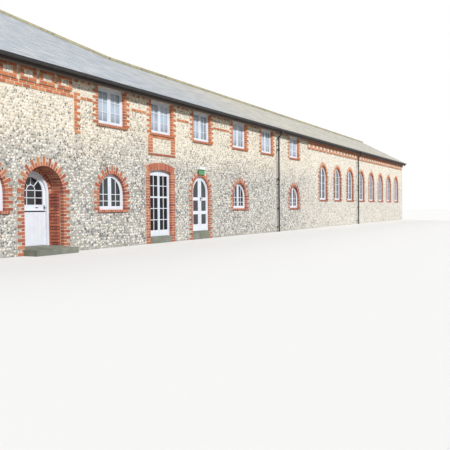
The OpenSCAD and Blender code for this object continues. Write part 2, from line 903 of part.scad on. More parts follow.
module arched_window_sills() {
    color(brick) site() {
        sills(yard_windows);
        sills(hall_windows);
        on_range_back() sills(back_yard_windows);
        on_range_back() sills(hall_windows);
        on_block_side() sills([for (x = block_side_x) yard_window(x)]);
        on_block_back() sills([for (x = block_back_x) yard_window(x)]);
    }
}

// Outlines of the two lights, on either side of the centre mullion
module lights_2d(o) {
    hole = inset(o, window_frame_w, o[2] + window_frame_w);
    difference() {
        opening_2d(hole);
        translate([o[0] - window_frame_w / 2, o[2]]) square([window_frame_w, sky]);
    }
}

module window_frames(list) {
    for (o = list) difference() {
        upright(window_setback, window_frame_d) opening_2d(o);
        upright(window_setback - past, window_frame_d + 2 * past) lights_2d(o);
    }
}

module window_glass(list) {
    for (o = list) upright(window_setback + window_frame_d / 2, glass_t) lights_2d(o);
}

module upper_window_frames() {
    color(white_paint) site() {
        window_frames(upper_windows);
        on_range_back() window_frames(back_upper_windows);
        on_block_side() window_frames([for (x = block_side_x) upper_window(x)]);
        on_block_back() window_frames([for (x = block_back_x) upper_window(x)]);
    }
}

module upper_window_glass() {
    color(pane) site() {
        window_glass(upper_windows);
        on_range_back() window_glass(back_upper_windows);
        on_block_side() window_glass([for (x = block_side_x) upper_window(x)]);
        on_block_back() window_glass([for (x = block_back_x) upper_window(x)]);
    }
}

module yard_window_frames() {
    color(white_paint) site() {
        window_frames(yard_windows);
        on_range_back() window_frames(back_yard_windows);
        on_block_side() window_frames([for (x = block_side_x) yard_window(x)]);
        on_block_back() window_frames([for (x = block_back_x) yard_window(x)]);
    }
}

module yard_window_glass() {
    color(pane) site() {
        window_glass(yard_windows);
        on_range_back() window_glass(back_yard_windows);
        on_block_side() window_glass([for (x = block_side_x) yard_window(x)]);
        on_block_back() window_glass([for (x = block_back_x) yard_window(x)]);
    }
}

module hall_window_frames() {
    color(white_paint) site() {
        window_frames(hall_windows);
        on_range_back() window_frames(hall_windows);
    }
}

module hall_window_glass() {
    color(pane) site() {
        window_glass(hall_windows);
        on_range_back() window_glass(hall_windows);
    }
}

// One knuckle with its flap: side is the way its flap runs along X, out the way the pin stands off
module knuckle(x, face_y, side, out, z, h) {
    translate([x, face_y + out * hinge_off, z]) cylinder(h = h, r = hinge_r);
    translate([side < 0 ? x - hinge_flap : x, out < 0 ? face_y - hinge_t : face_y, z])
        cube([hinge_flap, hinge_t, h]);
}

// The leaf's middle knuckle of each hinge
module leaf_knuckles(x, face_y, side, out, levels) {
    for (z = levels) knuckle(x, face_y, side, out, z + hinge_h / 3 + hinge_play, hinge_h / 3 - 2 * hinge_play);
}

// The frame's two outer knuckles of each hinge
module frame_knuckles(x, face_y, side, out, levels) {
    for (z = levels, k = [0, 2]) knuckle(x, face_y, -side, out, z + k * hinge_h / 3, hinge_h / 3);
}

// First doorway: outlines that share one centre, from the rebate to the glass
door1_hole = inset(door1, door1_rebate, 0);
door1_frame_hole = inset(door1, door1_rebate + frame_w, 0);
door1_stop_hole = inset(door1, door1_rebate + frame_w + stop_lap, 0);
door1_leaf = inset(door1, door1_rebate + frame_w + leaf_gap, door1_sill_z + leaf_gap);
door1_pane = inset(door1, door1_rebate + frame_w + leaf_gap + stile_w, door1_glass_z);
door1_leaf_y = door1_reveal + door1_frame_d - leaf_t;
door1_back_y = door1_reveal + door1_frame_d;
door1_pin_x = door1_x - door1_leaf[1] / 2 - leaf_gap / 2;
door1_lower_hinges = [door1_sill_z + 2 * hinge_h, door1_split_z - 2 * hinge_h];
door1_upper_hinges = [door1_split_z + hinge_h, arch_spring_z - 2 * hinge_h];

module above_2d(z) { translate([-sky, z]) square([4 * sky + range_length, sky]); }
module below_2d(z) { translate([-sky, z - sky]) square([4 * sky + range_length, sky]); }

module door1_rebate_brickwork() {
    color(brick) site() upright(door1_reveal, door1_frame_d) difference() {
        opening_2d(door1);
        opening_2d(door1_hole);
        below_2d(door1_sill_z);
    }
}

module door1_frame() {
    color(white_paint) site() {
        upright(door1_reveal, door1_frame_d - leaf_t - stop_gap) difference() {
            opening_2d(door1_hole);
            opening_2d(door1_stop_hole);
            below_2d(door1_sill_z);
        }
        upright(door1_reveal + door1_frame_d - leaf_t - stop_gap, leaf_t + stop_gap) difference() {
            opening_2d(door1_hole);
            opening_2d(door1_frame_hole);
            below_2d(door1_sill_z);
        }
        frame_knuckles(door1_pin_x, door1_back_y, 1, 1, concat(door1_lower_hinges, door1_upper_hinges));
    }
}

module door1_lower_leaf() {
    color(white_paint) site() {
        upright(door1_leaf_y, leaf_t) intersection() {
            opening_2d(door1_leaf);
            below_2d(door1_split_z - leaf_gap / 2);
        }
        leaf_knuckles(door1_pin_x, door1_back_y, 1, 1, door1_lower_hinges);
    }
}

module door1_upper_leaf() {
    color(white_paint) site() {
        upright(door1_leaf_y, leaf_t) difference() {
            intersection() {
                opening_2d(door1_leaf);
                above_2d(door1_split_z + leaf_gap / 2);
            }
            opening_2d(door1_pane);
        }
        leaf_knuckles(door1_pin_x, door1_back_y, 1, 1, door1_upper_hinges);
    }
}

module door1_glass() {
    color(pane) site() upright(door1_leaf_y + leaf_t / 2, glass_t) opening_2d(door1_pane);
}

// Garden doors: a frame with a pair of glazed leaves that open outward
function leaf_outline(o, sill) = inset(o, frame_w + leaf_gap, sill + leaf_gap);
function pane_outline(o, glass_z, stile) = inset(o, frame_w + leaf_gap + stile, glass_z);
function pin_x(o, side) = o[0] + side * (o[1] / 2 - frame_w - leaf_gap / 2);
function hinge_levels(o, sill) = [
    sill + 2 * hinge_h, (sill + o[3] - hinge_h) / 2, arch_spring_z - hinge_h
];

module half_2d(x, side, gap) {
    translate([side < 0 ? x - sky : x + gap / 2, 0]) square([sky - (side < 0 ? gap / 2 : 0), sky]);
}

module garden_frame(o, setback, sill) {
    stop_d = garden_frame_d - leaf_t - stop_gap;
    color(white_paint) site() {
        upright(setback, leaf_t + stop_gap) difference() {
            opening_2d(o);
            opening_2d(inset(o, frame_w, 0));
            below_2d(sill);
        }
        upright(setback + leaf_t + stop_gap, stop_d) difference() {
            opening_2d(o);
            opening_2d(inset(o, frame_w + stop_lap + leaf_gap, 0));
            below_2d(sill);
        }
        for (side = [-1, 1]) frame_knuckles(pin_x(o, side), setback, -side, -1, hinge_levels(o, sill));
    }
}

// Glass of one leaf, level at its top where the head above it is solid
module garden_pane_2d(o, glass, stile, side) {
    intersection() {
        opening_2d(pane_outline(o, glass[0], stile));
        half_2d(o[0], side, meeting_gap + 2 * stile);
        below_2d(glass[1]);
    }
}

module garden_leaf(o, setback, sill, glass, stile, side) {
    color(white_paint) site() {
        upright(setback, leaf_t) difference() {
            intersection() {
                opening_2d(leaf_outline(o, sill));
                half_2d(o[0], side, meeting_gap);
            }
            garden_pane_2d(o, glass, stile, side);
        }
        leaf_knuckles(pin_x(o, side), setback, -side, -1, hinge_levels(o, sill));
    }
}

module garden_glass(o, setback, glass, stile, side) {
    color(pane) site() upright(setback + leaf_t / 2, glass_t) garden_pane_2d(o, glass, stile, side);
}

door3_glass = [door3_glass_z, door3_glass_top];
door4_glass = [door4_glass_z, sky];

module door3_leaf(side) { garden_leaf(door3, door3_setback, door3_sill_z, door3_glass, door3_stile_w, side); }
module door4_leaf(side) { garden_leaf(door4, door4_setback, door4_sill_z, door4_glass, garden_stile_w, side); }
module door3_pane(side) { garden_glass(door3, door3_setback, door3_glass, door3_stile_w, side); }
module door4_pane(side) { garden_glass(door4, door4_setback, door4_glass, garden_stile_w, side); }

module door3_frame() { garden_frame(door3, door3_setback, door3_sill_z); }
module door3_left_leaf() { door3_leaf(-1); }
module door3_left_glass() { door3_pane(-1); }
module door3_right_leaf() { door3_leaf(1); }
module door3_right_glass() { door3_pane(1); }
module door4_frame() { garden_frame(door4, door4_setback, door4_sill_z); }
module door4_left_leaf() { door4_leaf(-1); }
module door4_left_glass() { door4_pane(-1); }
module door4_right_leaf() { door4_leaf(1); }
module door4_right_glass() { door4_pane(1); }

// Stone sill that fills a doorway from the foot of the wall to the door
module door_sill(o, top) {
    translate([o[0] - o[1] / 2, -dressing_proud, 0]) cube([o[1], dressing_proud + wall_t, top]);
}

module door_sills() {
    color(stone) site() {
        door_sill(door1, door1_sill_z);
        door_sill(door3, door3_sill_z);
        door_sill(door4, door4_sill_z);
    }
}

module door1_step() {
    color(stone) site() translate([door1_x - step_w / 2, -step_out, 0])
        cube([step_w, step_out - dressing_proud, step_h]);
}

// Lamp over the round-arched door, with a plain green plate below it
module exit_lamp() {
    site() {
        color(white_paint) translate([door4_x - lamp_w / 2, -lamp_d, sign_z + sign_h])
            cube([lamp_w, lamp_d, lamp_h]);
        color(lamp_green) translate([door4_x - lamp_w / 2, -lamp_d / 2 - sign_t / 2, sign_z])
            cube([lamp_w, sign_t, sign_h]);
    }
}

front_wall_near();
door1_head();
front_wall_second();
door3_head();
front_wall_third();
door4_head();
front_wall_middle();
front_wall_far();
far_end_wall();
near_end_wall();
range_back_wall();
block_side_wall();
block_back_wall();
ground_floor();
upper_floor();
floor_edge_beam();
roof_front();
roof_range_back();
roof_block_side();
roof_block_back();
ridge_and_hip_rolls();
fascia_boards();
gutters();
downpipes();
eaves_course();
near_eaves_course();
far_eaves_course();
brick_lacing();
door_arch_rings();
door_jambs();
yard_window_dressings();
hall_window_dressings();
upper_window_dressings();
upper_window_sills();
arched_window_sills();
upper_window_frames();
upper_window_glass();
yard_window_frames();
yard_window_glass();
hall_window_frames();
hall_window_glass();
door1_rebate_brickwork();
door1_frame();
door1_lower_leaf();
door1_upper_leaf();
door1_glass();
door3_frame();
door3_left_leaf();
door3_left_glass();
door3_right_leaf();
door3_right_glass();
door4_frame();
door4_left_leaf();
door4_left_glass();
door4_right_leaf();
door4_right_glass();
door_sills();
door1_step();
exit_lamp();
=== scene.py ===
import math
import random

import bpy
import numpy as np
from mathutils import Matrix, Vector
from mathutils.bvhtree import BVHTree


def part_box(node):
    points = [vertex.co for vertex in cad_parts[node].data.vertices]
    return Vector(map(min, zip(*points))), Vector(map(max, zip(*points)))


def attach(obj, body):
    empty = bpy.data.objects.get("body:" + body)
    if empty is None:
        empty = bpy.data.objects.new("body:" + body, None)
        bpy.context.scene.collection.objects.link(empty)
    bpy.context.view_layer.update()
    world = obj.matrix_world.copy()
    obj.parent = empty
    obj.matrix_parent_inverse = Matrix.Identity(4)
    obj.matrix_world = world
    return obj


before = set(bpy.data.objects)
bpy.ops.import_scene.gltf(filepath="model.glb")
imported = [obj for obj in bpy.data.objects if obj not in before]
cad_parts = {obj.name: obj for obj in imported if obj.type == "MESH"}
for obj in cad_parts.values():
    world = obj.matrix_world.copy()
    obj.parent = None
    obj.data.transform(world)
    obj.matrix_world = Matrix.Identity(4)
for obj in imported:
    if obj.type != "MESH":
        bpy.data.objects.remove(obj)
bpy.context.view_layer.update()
random.seed(7)

# The view is from eye height in the yard, along the front towards its far
# gable, with a lens a little longer than normal.
eye = bpy.data.cameras.new("eye")
eye.lens = 48.894
eye.sensor_width = 36.0
eye.clip_end = 400.0
heading, tilt, roll = (math.radians(angle) for angle in (28.195, -1.622, -0.4735))
quarter = math.radians(90)
camera = bpy.data.objects.new("eye", eye)
camera.matrix_world = (
    Matrix.Translation((-27.161, -15.519, 1.0023))
    @ Matrix.Rotation(heading - quarter, 4, "Z")
    @ Matrix.Rotation(quarter + tilt, 4, "X")
    @ Matrix.Rotation(roll, 4, "Z")
)
bpy.context.scene.collection.objects.link(camera)
bpy.context.scene.camera = camera


# Flint walling: knapped and whole field flints of about a hand's width, bedded
# close together in pale lime mortar and pointed almost flush with their faces.
# The outer stones are set as real pieces, the small ones between are relief.
class Tone:
    """One output of a finish's nodes, which can be added and multiplied."""

    def __init__(self, tree, socket):
        self.tree, self.socket = tree, socket

    def node(self, kind, settings, values, out=0):
        made = self.tree.nodes.new(kind)
        for name, value in settings.items():
            setattr(made, name, value)
        for name, value in values.items():
            if isinstance(value, Tone):
                self.tree.links.new(value.socket, made.inputs[name])
            else:
                made.inputs[name].default_value = value
        return Tone(self.tree, made.outputs[out])

    def sum(self, operation, other):
        return self.node("ShaderNodeMath", {"operation": operation}, {0: self, 1: other})

    def __add__(self, other):
        return self.sum("ADD", other)

    __radd__ = __add__

    def __sub__(self, other):
        return self.sum("SUBTRACT", other)

    def __rsub__(self, other):
        return self.node("ShaderNodeMath", {"operation": "SUBTRACT"}, {0: other, 1: self})

    def __mul__(self, other):
        return self.sum("MULTIPLY", other)

    __rmul__ = __mul__

    def __gt__(self, other):
        return self.sum("GREATER_THAN", other)

    def __lt__(self, other):
        return self.sum("LESS_THAN", other)

    def between(self, low, high):
        """0 below low, 1 above high, and smooth from one to the other."""
        return self.node("ShaderNodeMapRange", {"interpolation_type": "SMOOTHSTEP"},
                         {"Value": self, "From Min": low, "From Max": high})

    def axis(self, which):
        return self.node("ShaderNodeSeparateXYZ", {}, {0: self}, "XYZ".index(which))

    def noise(self, scale, detail=3.0, rough=0.5):
        return self.node("ShaderNodeTexNoise", {},
                         {"Vector": self, "Scale": scale, "Detail": detail, "Roughness": rough})

    def stretched(self, x, y, z):
        return self.node("ShaderNodeMapping", {}, {"Vector": self, "Scale": (x, y, z)})

    def ramp(self, *stops, steps=False):
        """A colour for each value, from stops of (value, red, green, blue)."""
        made = self.node("ShaderNodeValToRGB", {}, {"Fac": self})
        band = made.socket.node.color_ramp
        band.interpolation = "CONSTANT" if steps else "LINEAR"
        while len(band.elements) < len(stops):
            band.elements.new(0.5)
        for stop, (value, *colour) in zip(band.elements, stops):
            stop.position, stop.color = value, srgb(colour)
        return made


def srgb(colour):
    """A colour for a shader from the red, green and blue, 0 to 255, that a screen shows."""
    return (*(c / 255 / 12.92 if c <= 10 else ((c / 255 + 0.055) / 1.055) ** 2.4 for c in colour), 1.0)


MIX_MASK, MIX_FIRST, MIX_SECOND, MIX_RESULT = 0, 6, 7, 2


def blend(mask, first, second):
    """The first colour where the mask is 0, the second where it is 1."""
    values = {MIX_MASK: mask, MIX_FIRST: first if isinstance(first, Tone) else srgb(first),
              MIX_SECOND: second if isinstance(second, Tone) else srgb(second)}
    return mask.node("ShaderNodeMix", {"data_type": "RGBA"}, values, MIX_RESULT)


def new_finish(name):
    """An empty finish, its shader, and where on the building it is."""
    finish = bpy.data.materials.new(name)
    finish.use_nodes = True
    coords = finish.node_tree.nodes.new("ShaderNodeTexCoord")
    return finish, finish.node_tree.nodes["Principled BSDF"], Tone(finish.node_tree, coords.outputs["Object"])


def tint_of(place):
    """The number between 0 and 1 that each brick, stone or slate has of its own."""
    return place.node("ShaderNodeAttribute", {"attribute_name": "tint"}, {}, 2)


def coat(shader, colour, rough, relief=None, height=0.004):
    """Joins colour, roughness and relief to a finish's shader."""
    links = shader.id_data.links
    links.new(colour.socket, shader.inputs["Base Color"])
    if isinstance(rough, Tone):
        links.new(rough.socket, shader.inputs["Roughness"])
    else:
        shader.inputs["Roughness"].default_value = rough
    if relief is not None:
        bump = relief.node("ShaderNodeBump", {}, {"Distance": height, "Height": relief})
        links.new(bump.socket, shader.inputs["Normal"])


def dress(finish, *names):
    for name in names:
        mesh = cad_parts[name].data
        mesh.materials.clear()
        mesh.materials.append(finish)


def edit(shape):
    """Opens one shape in edit mode, with all of it selected and nothing else."""
    bpy.ops.object.select_all(action="DESELECT")
    shape.select_set(True)
    bpy.context.view_layer.objects.active = shape
    bpy.ops.object.mode_set(mode="EDIT")
    bpy.ops.mesh.select_all(action="SELECT")


def as_modelled(name):
    """The shape that the last operators made, back in object mode and named."""
    bpy.ops.object.mode_set(mode="OBJECT")
    shape = bpy.context.active_object
    shape.name = name
    return shape


def pick(shape, wanted):
    """Selects the faces whose normal the test accepts, in edit mode."""
    bpy.ops.mesh.select_all(action="DESELECT")
    bpy.ops.object.mode_set(mode="OBJECT")
    for face in shape.data.polygons:
        face.select = wanted(face.normal)
    bpy.ops.object.mode_set(mode="EDIT")


def lay(name, shape, spots, finish, body="building", smooth=False, keep=False, tones=(0.0, 1.0)):
    """Joins a copy of a modelled shape at every spot into one piece with its own tints."""
    places = np.array([np.array(place) for place in spots])
    points = np.array([v.co for v in shape.data.vertices])
    placed = np.einsum("kij,nj->kni", places[:, :3, :3], points) + places[:, None, :3, 3]
    faces = [list(face.vertices) for face in shape.data.polygons]
    turned = np.array([v for face in faces for v in reversed(face)])
    straight = np.array([v for face in faces for v in face])
    mirrored = np.linalg.det(places[:, :3, :3]) < 0
    corners = np.where(mirrored[:, None], turned, straight) + len(points) * np.arange(len(places))[:, None]
    starts = np.cumsum([0] + [len(face) for face in faces[:-1]])
    mesh = bpy.data.meshes.new(name)
    mesh.vertices.add(placed.size // 3)
    mesh.vertices.foreach_set("co", placed.ravel())
    mesh.loops.add(corners.size)
    mesh.loops.foreach_set("vertex_index", corners.ravel())
    mesh.polygons.add(len(faces) * len(places))
    first_corners = starts + len(straight) * np.arange(len(places))[:, None]
    mesh.polygons.foreach_set("loop_start", first_corners.ravel())
    mesh.update(calc_edges=True)
    tints = np.repeat([random.uniform(*tones) for place in spots], len(points))
    mesh.attributes.new("tint", "FLOAT", "POINT").data.foreach_set("value", tints)
    mesh.polygons.foreach_set("use_smooth", np.full(len(mesh.polygons), smooth))
    mesh.materials.append(finish)
    piece = bpy.data.objects.new(name, mesh)
    bpy.context.scene.collection.objects.link(piece)
    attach(piece, body)
    if not keep:
        bpy.data.objects.remove(shape)
    return piece


def spot(x, depth, z, wide=1.0, deep=1.0, high=1.0, lean=0.0):
    """A place on a wall, seen from outside: along, into the wall, and up."""
    return (Matrix.Translation((x, depth, z)) @ Matrix.Rotation(lean, 4, "Y")
            @ Matrix.Diagonal((wide, deep, high, 1.0)))


def uneven(most):
    """A small difference either way, another each time."""
    return random.uniform(-most, most)


RANGE_LONG, RANGE_DEEP = 39.72, 6.19
BLOCK_LONG, BLOCK_DEEP = 12.09, 11.09
start_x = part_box("near_end_wall")[0][0]
face_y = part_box("front_wall_near")[0][1]


def wall_frame(x, y, along, inward):
    """A wall's own directions: along it, into it and up, from its corner on the plan."""
    return Matrix(((along[0], inward[0], 0, start_x + x), (along[1], inward[1], 0, face_y + y),
                   (0, 0, 1, 0), (0, 0, 0, 1)))


FRONT = wall_frame(0, 0, (1, 0), (0, 1))
RANGE_BACK = wall_frame(0, RANGE_DEEP, (1, 0), (0, -1))
BLOCK_BACK = wall_frame(0, BLOCK_DEEP, (1, 0), (0, -1))
BLOCK_SIDE = wall_frame(BLOCK_LONG, RANGE_DEEP, (0, 1), (-1, 0))
NEAR_END = wall_frame(0, 0, (0, 1), (1, 0))
FAR_END = wall_frame(RANGE_LONG, 0, (0, 1), (-1, 0))


def front(*place, **more):
    return FRONT @ spot(*place, **more)


def sunlit_part(place):
    """0 low on the walls, in painted shade, 1 higher up, in painted sunlight, with an uneven line between."""
    return (place.axis("Z") + place.noise(0.5, 3.0) * 1.6).between(2.6, 4.1)


def sunlit_far_part(place):
    """0 on the near half of the building, 1 towards its far end, which painted sunlight pales."""
    return (place.axis("X") + place.noise(0.3, 2.0) * 4.0).between(-4.0, 6.0)


flint_walling, shader, place = new_finish("flint_walling")
bed = place.noise(1.3, 4.0) * 0.6 + place.noise(22.0, 4.0) * 0.4
# The upper lime, and a greyer copy of it that paints shade on the lower wall.
upper_lime = bed.ramp((0.3, 204, 191, 168), (0.5, 228, 217, 196), (0.7, 238, 230, 213))
shaded_lime = bed.ramp((0.3, 144, 141, 134), (0.5, 174, 171, 164), (0.7, 196, 193, 187))
lime = blend(sunlit_part(place), shaded_lime, upper_lime)
# Painted sunlight pales the lime towards the far end.
lime = blend(sunlit_far_part(place) * 0.5, lime, (244, 236, 222))
cells = {"Vector": place, "Scale": 17.0}
stones = place.node("ShaderNodeTexVoronoi", {}, cells)
own = place.node("ShaderNodeTexVoronoi", {}, cells, 1).axis("X")
chips = own.ramp((0.0, 232, 226, 214), (0.42, 188, 184, 174), (0.6, 150, 146, 140), (0.72, 66, 67, 72),
                 (0.88, 160, 124, 88), (0.94, 236, 232, 224), steps=True)
inside = 1.0 - stones.between(0.30, 0.42)
colour = blend(inside, lime, chips)
# Plaster, in the near block's rooms, starts inside the thickness of its walls
in_wall = 0.3
along, across = place.axis("X") - start_x, place.axis("Y") - face_y
rooms = (along > in_wall) * (across > in_wall)
rooms = rooms * (along < BLOCK_LONG - in_wall) * (across < BLOCK_DEEP - in_wall)
plaster = place.noise(3.0, 5.0, 0.6).ramp((0.3, 214, 209, 198), (0.7, 232, 229, 221))
outside = 1.0 - rooms
colour = blend(rooms, colour, plaster)
coat(shader, colour, 0.92 - inside * outside * 0.25,
     inside * outside * 0.8 + place.noise(60.0, 3.0) * (outside * 0.25 + 0.05), 0.006)

flint_face, shader, place = new_finish("flint_face")
tint = tint_of(place)
cloud = place.noise(30.0, 3.0)
cortex = cloud.ramp((0.35, 196, 188, 172), (0.65, 240, 235, 224))
body_tone = tint.ramp((0.0, 246, 242, 234), (0.26, 230, 224, 211), (0.48, 200, 196, 188),
                      (0.60, 146, 147, 148), (0.74, 82, 85, 92), (0.85, 44, 46, 54),
                      (0.96, 158, 126, 94), steps=True)
rind = place.noise(45.0, 2.0).between(0.54, 0.66) * 0.6
sunlit = sunlit_part(place)
# Painted shade greys the stones low on the wall, painted sunlight warms them higher up.
body_tone = blend(sunlit, blend(0.16 + cloud * 0.06, body_tone, (150, 152, 154)),
                  blend(0.30 + cloud * 0.12, body_tone, (238, 228, 206)))
# Smeared mortar over some stones, greyer low down as painted shade, warmer above as painted sunlight.
smeared = (place.noise(0.9, 4.0, 0.6) + tint * 0.12).between(0.58, 0.72)
body_tone = blend(smeared * 0.6, body_tone, blend(sunlit, (206, 201, 190), (233, 223, 204)))
colour = blend(rind, body_tone, cortex)
# Painted sunlight pales the stones towards the far end.
colour = blend(sunlit_far_part(place) * 0.35, colour, (244, 236, 222))
coat(shader, colour, 0.35 + rind * 0.45, cloud * 0.5 + place.noise(120.0, 2.0) * 0.2, 0.004)
shader.inputs["Specular IOR Level"].default_value = 0.45

bpy.ops.object.select_all(action="DESELECT")
bpy.ops.mesh.primitive_uv_sphere_add(segments=6, ring_count=4, radius=0.5)
edit(bpy.context.active_object)
bpy.ops.mesh.bisect(plane_co=(0, 0, 0), plane_no=(0, 0, -1), clear_outer=True, use_fill=False)
bpy.ops.mesh.select_all(action="SELECT")
bpy.ops.transform.rotate(value=quarter, orient_axis="X", center_override=(0, 0, 0))
pebble = as_modelled("pebble")
if sum(v.co.y for v in pebble.data.vertices) > 0:
    for v in pebble.data.vertices:
        v.co.y = -v.co.y
    pebble.data.flip_normals()


def bare(trees, wall, u, z):
    """Whether a wall's own face lies here, and no opening or brickwork."""
    stand_off = 1.0
    inward = (wall.to_3x3() @ Vector((0, 1, 0))).normalized()
    start = wall @ Vector((u, -stand_off, z))
    hits = (tree.ray_cast(start, inward, 1.5) for tree in trees)
    return any(hit[0] is not None and abs(hit[3] - stand_off) < 0.004 for hit in hits)


ROW_RISE = 0.86
near_walling = ["front_wall_near", "door1_head", "front_wall_second", "door3_head", "front_wall_third",
                "door4_head", "front_wall_middle"]
flint_walls = [
    ("front_near_flints", FRONT, near_walling, 0.0, 19.7, 4.1, 0.080),
    ("front_far_flints", FRONT, ["front_wall_far"], 19.7, RANGE_LONG, 4.1, 0.09),
    ("range_back_flints", RANGE_BACK, ["range_back_wall"], 11.6, RANGE_LONG, 4.1, 0.115),
    ("block_back_flints", BLOCK_BACK, ["block_back_wall"], 0.0, BLOCK_LONG, 4.1, 0.115),
    ("block_side_flints", BLOCK_SIDE, ["block_side_wall"], 0.0, 4.9, 4.1, 0.115),
    ("near_end_flints", NEAR_END, ["near_end_wall"], 0.0, BLOCK_DEEP, 6.9, 0.115),
    ("far_end_flints", FAR_END, ["far_end_wall"], 0.0, RANGE_DEEP, 5.6, 0.115),
]
for piece_name, wall, nodes, u0, u1, top, pitch in flint_walls:
    trees = []
    for node_name in nodes:
        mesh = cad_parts[node_name].data
        mesh.calc_loop_triangles()
        trees.append(BVHTree.FromPolygons([v.co for v in mesh.vertices],
                                          [t.vertices[:] for t in mesh.loop_triangles]))
    spots = []
    for row in range(int(top / (pitch * ROW_RISE))):
        for step in range(int((u1 - u0) / pitch) + 1):
            u = u0 + (step + 0.5 * (row % 2) + uneven(0.24)) * pitch
            z = (row + 0.5 + uneven(0.22)) * pitch * ROW_RISE
            wide = pitch * random.uniform(0.76, 1.14)
            high = wide * random.uniform(0.60, 0.98)
            deep = random.uniform(0.022, 0.034)
            lean = uneven(0.6)
            reach = 0.5 * wide + 0.004
            if all(bare(trees, wall, u + a * reach, z + b * reach)
                   for a, b in ((0, 0), (1, 0), (-1, 0), (0, 1), (0, -1))):
                spots.append(wall @ spot(u, 0.003, z, wide, deep, high, lean)
                             @ Matrix.Rotation(random.uniform(0, 6.28), 4, "Y"))
    lay(piece_name, pebble, spots, flint_face, smooth=True, keep=True)
    dress(flint_walling, *nodes)

# Brick dressings: soft orange-red bricks in lime mortar, long and short by turns
# up each jamb and fanned round each arch, bonded into the flint and standing a
# little proud of it. The mortar between them is the dressing's own body.
mortar, shader, place = new_finish("mortar")
grit = place.noise(9.0, 4.0) * 0.5 + place.noise(140.0, 3.0) * 0.5
coat(shader, grit.ramp((0.3, 196, 182, 160), (0.55, 220, 208, 188), (0.75, 233, 224, 208)), 0.95, grit, 0.003)
dress(mortar, "eaves_course", "near_eaves_course", "far_eaves_course", "brick_lacing", "door_arch_rings",
      "door_jambs", "yard_window_dressings", "hall_window_dressings", "upper_window_dressings",
      "upper_window_sills", "arched_window_sills", "door1_rebate_brickwork")

brick_face, shader, place = new_finish("brick_face")
fired = tint_of(place).ramp((0.0, 188, 108, 74), (0.16, 172, 92, 64), (0.32, 202, 130, 90),
                            (0.46, 162, 84, 62), (0.60, 192, 114, 78), (0.74, 146, 78, 60),
                            (0.86, 208, 146, 106), (0.94, 118, 62, 52), steps=True)
kiln_cloud = place.noise(7.0, 4.0).between(0.35, 0.75)
colour = blend(kiln_cloud * 0.35, fired, (166, 92, 70))
specks = place.noise(110.0, 2.0)
colour = blend(specks.between(0.60, 0.70) * 0.5, colour, (96, 56, 46))
lime_bloom = place.noise(16.0, 5.0, 0.6).between(0.58, 0.74)
colour = blend(lime_bloom * 0.55, colour, (220, 196, 170))
# Low bricks painted darker and pinker as shade, higher ones more orange as painted sunlight.
sunlit_height = (place.axis("Z") + place.noise(0.7, 2.0) * 0.8).between(2.4, 3.6)
colour = blend(sunlit_height, blend(0.3 + specks * 0.1, colour, (156, 88, 78)),
               blend(0.32 + specks * 0.1, colour, (226, 140, 86)))
coat(shader, colour, 0.86 + lime_bloom * 0.08, specks * 0.5 + place.noise(30.0, 4.0) * 0.5, 0.004)


def brick(name, long, high, deep, edge=0.005):
    """One brick with its outer face at depth 0 and its arrises rounded off."""
    bpy.ops.object.select_all(action="DESELECT")
    bpy.ops.mesh.primitive_cube_add(size=1, location=(0, deep / 2, 0), scale=(long, deep, high))
    bpy.ops.object.transform_apply(location=True, rotation=False, scale=True)
    shape = bpy.context.active_object
    bpy.ops.object.mode_set(mode="EDIT")
    pick(shape, lambda normal: normal.y < -0.9)
    bpy.ops.mesh.bevel(offset=edge, segments=1)
    return as_modelled(name)


def voussoir(name, radius, angle, reach, deep):
    """One arch brick on end, rubbed narrower at its foot, round a centre at 0."""
    shape = brick(name, 2 * radius * math.tan(angle / 2), reach, deep)
    shape.data.transform(Matrix.Translation((0, 0, radius + reach / 2)))
    for v in shape.data.vertices:
        v.co.x *= v.co.z / radius
    return shape


def lay_bricks(name, shape, spots, tones=(0.0, 1.0)):
    return lay(name, shape, spots, brick_face, tones=tones)


JOINT = 0.013
COURSE = 0.075
LONG, SHORT, RING = 0.215, 0.102, 0.205
PROUD = 0.017
DOOR1_X, DOOR3_X, DOOR4_X = 2.84, 7.445, 9.727
DOOR1_HALF, DOOR1_SPRING = 0.6, 1.37
UPPER_X = (5.25, 7.53, 9.84, 12.52, 14.93, 17.82)
YARD_X = (1.2, 5.23, 12.52, 17.82)
HALL_X = tuple(21.68 + 2.277 * i for i in range(8))
BLOCK_X = tuple(2.418 * i for i in range(1, 5))
SIDE_X = (2.45,)


def openings(rows, *size):
    """Like openings, each its wall and (place, width, base, head or springing, setback)."""
    return [(wall, (x, *size)) for wall, places in rows for x in places]


block_rows = [(BLOCK_SIDE, SIDE_X), (BLOCK_BACK, BLOCK_X)]
upper_windows = openings([(FRONT, UPPER_X), (RANGE_BACK, UPPER_X[4:])] + block_rows,
                         1.07, 3.14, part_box("upper_window_dressings")[1][2], 0.07)
yard_windows = openings([(FRONT, YARD_X), (RANGE_BACK, YARD_X[3:])] + block_rows, 1.05, 0.97, 1.37, 0.07)
hall_windows = openings([(FRONT, HALL_X), (RANGE_BACK, HALL_X)], 1.1, 1.35, 2.47, 0.07)


def courses(base, top, half_high):
    """Each course of a jamb: its number, its middle, and the part of it under the top."""
    for i in range(math.ceil((top - base) / COURSE - 0.001)):
        z = base + (i + 0.5) * COURSE
        part = min(1.0, (top - z + half_high) / (2 * half_high))
        if top - z + half_high > 0.012:
            yield i, z - half_high * (1 - part), part


def jamb_spots(wall, opening, parity):
    """Places of the long bricks, parity 0, or the short ones, 1, up both jambs."""
    x, w, base, top, setback = opening
    along = w / 2 + ((LONG, SHORT)[parity] - JOINT) / 2
    return [wall @ spot(x + side * along, -PROUD + random.uniform(-0.002, 0.003), z, 1.0, 1.0, part,
                        uneven(0.008))
            for side in (-1, 1) for i, z, part in courses(base, top, 0.0325) if i % 2 == parity]


def ring_count(width):
    """An odd number of arch bricks, so that one is the key."""
    return 2 * round(width / 2 * math.pi / COURSE / 2) - 1


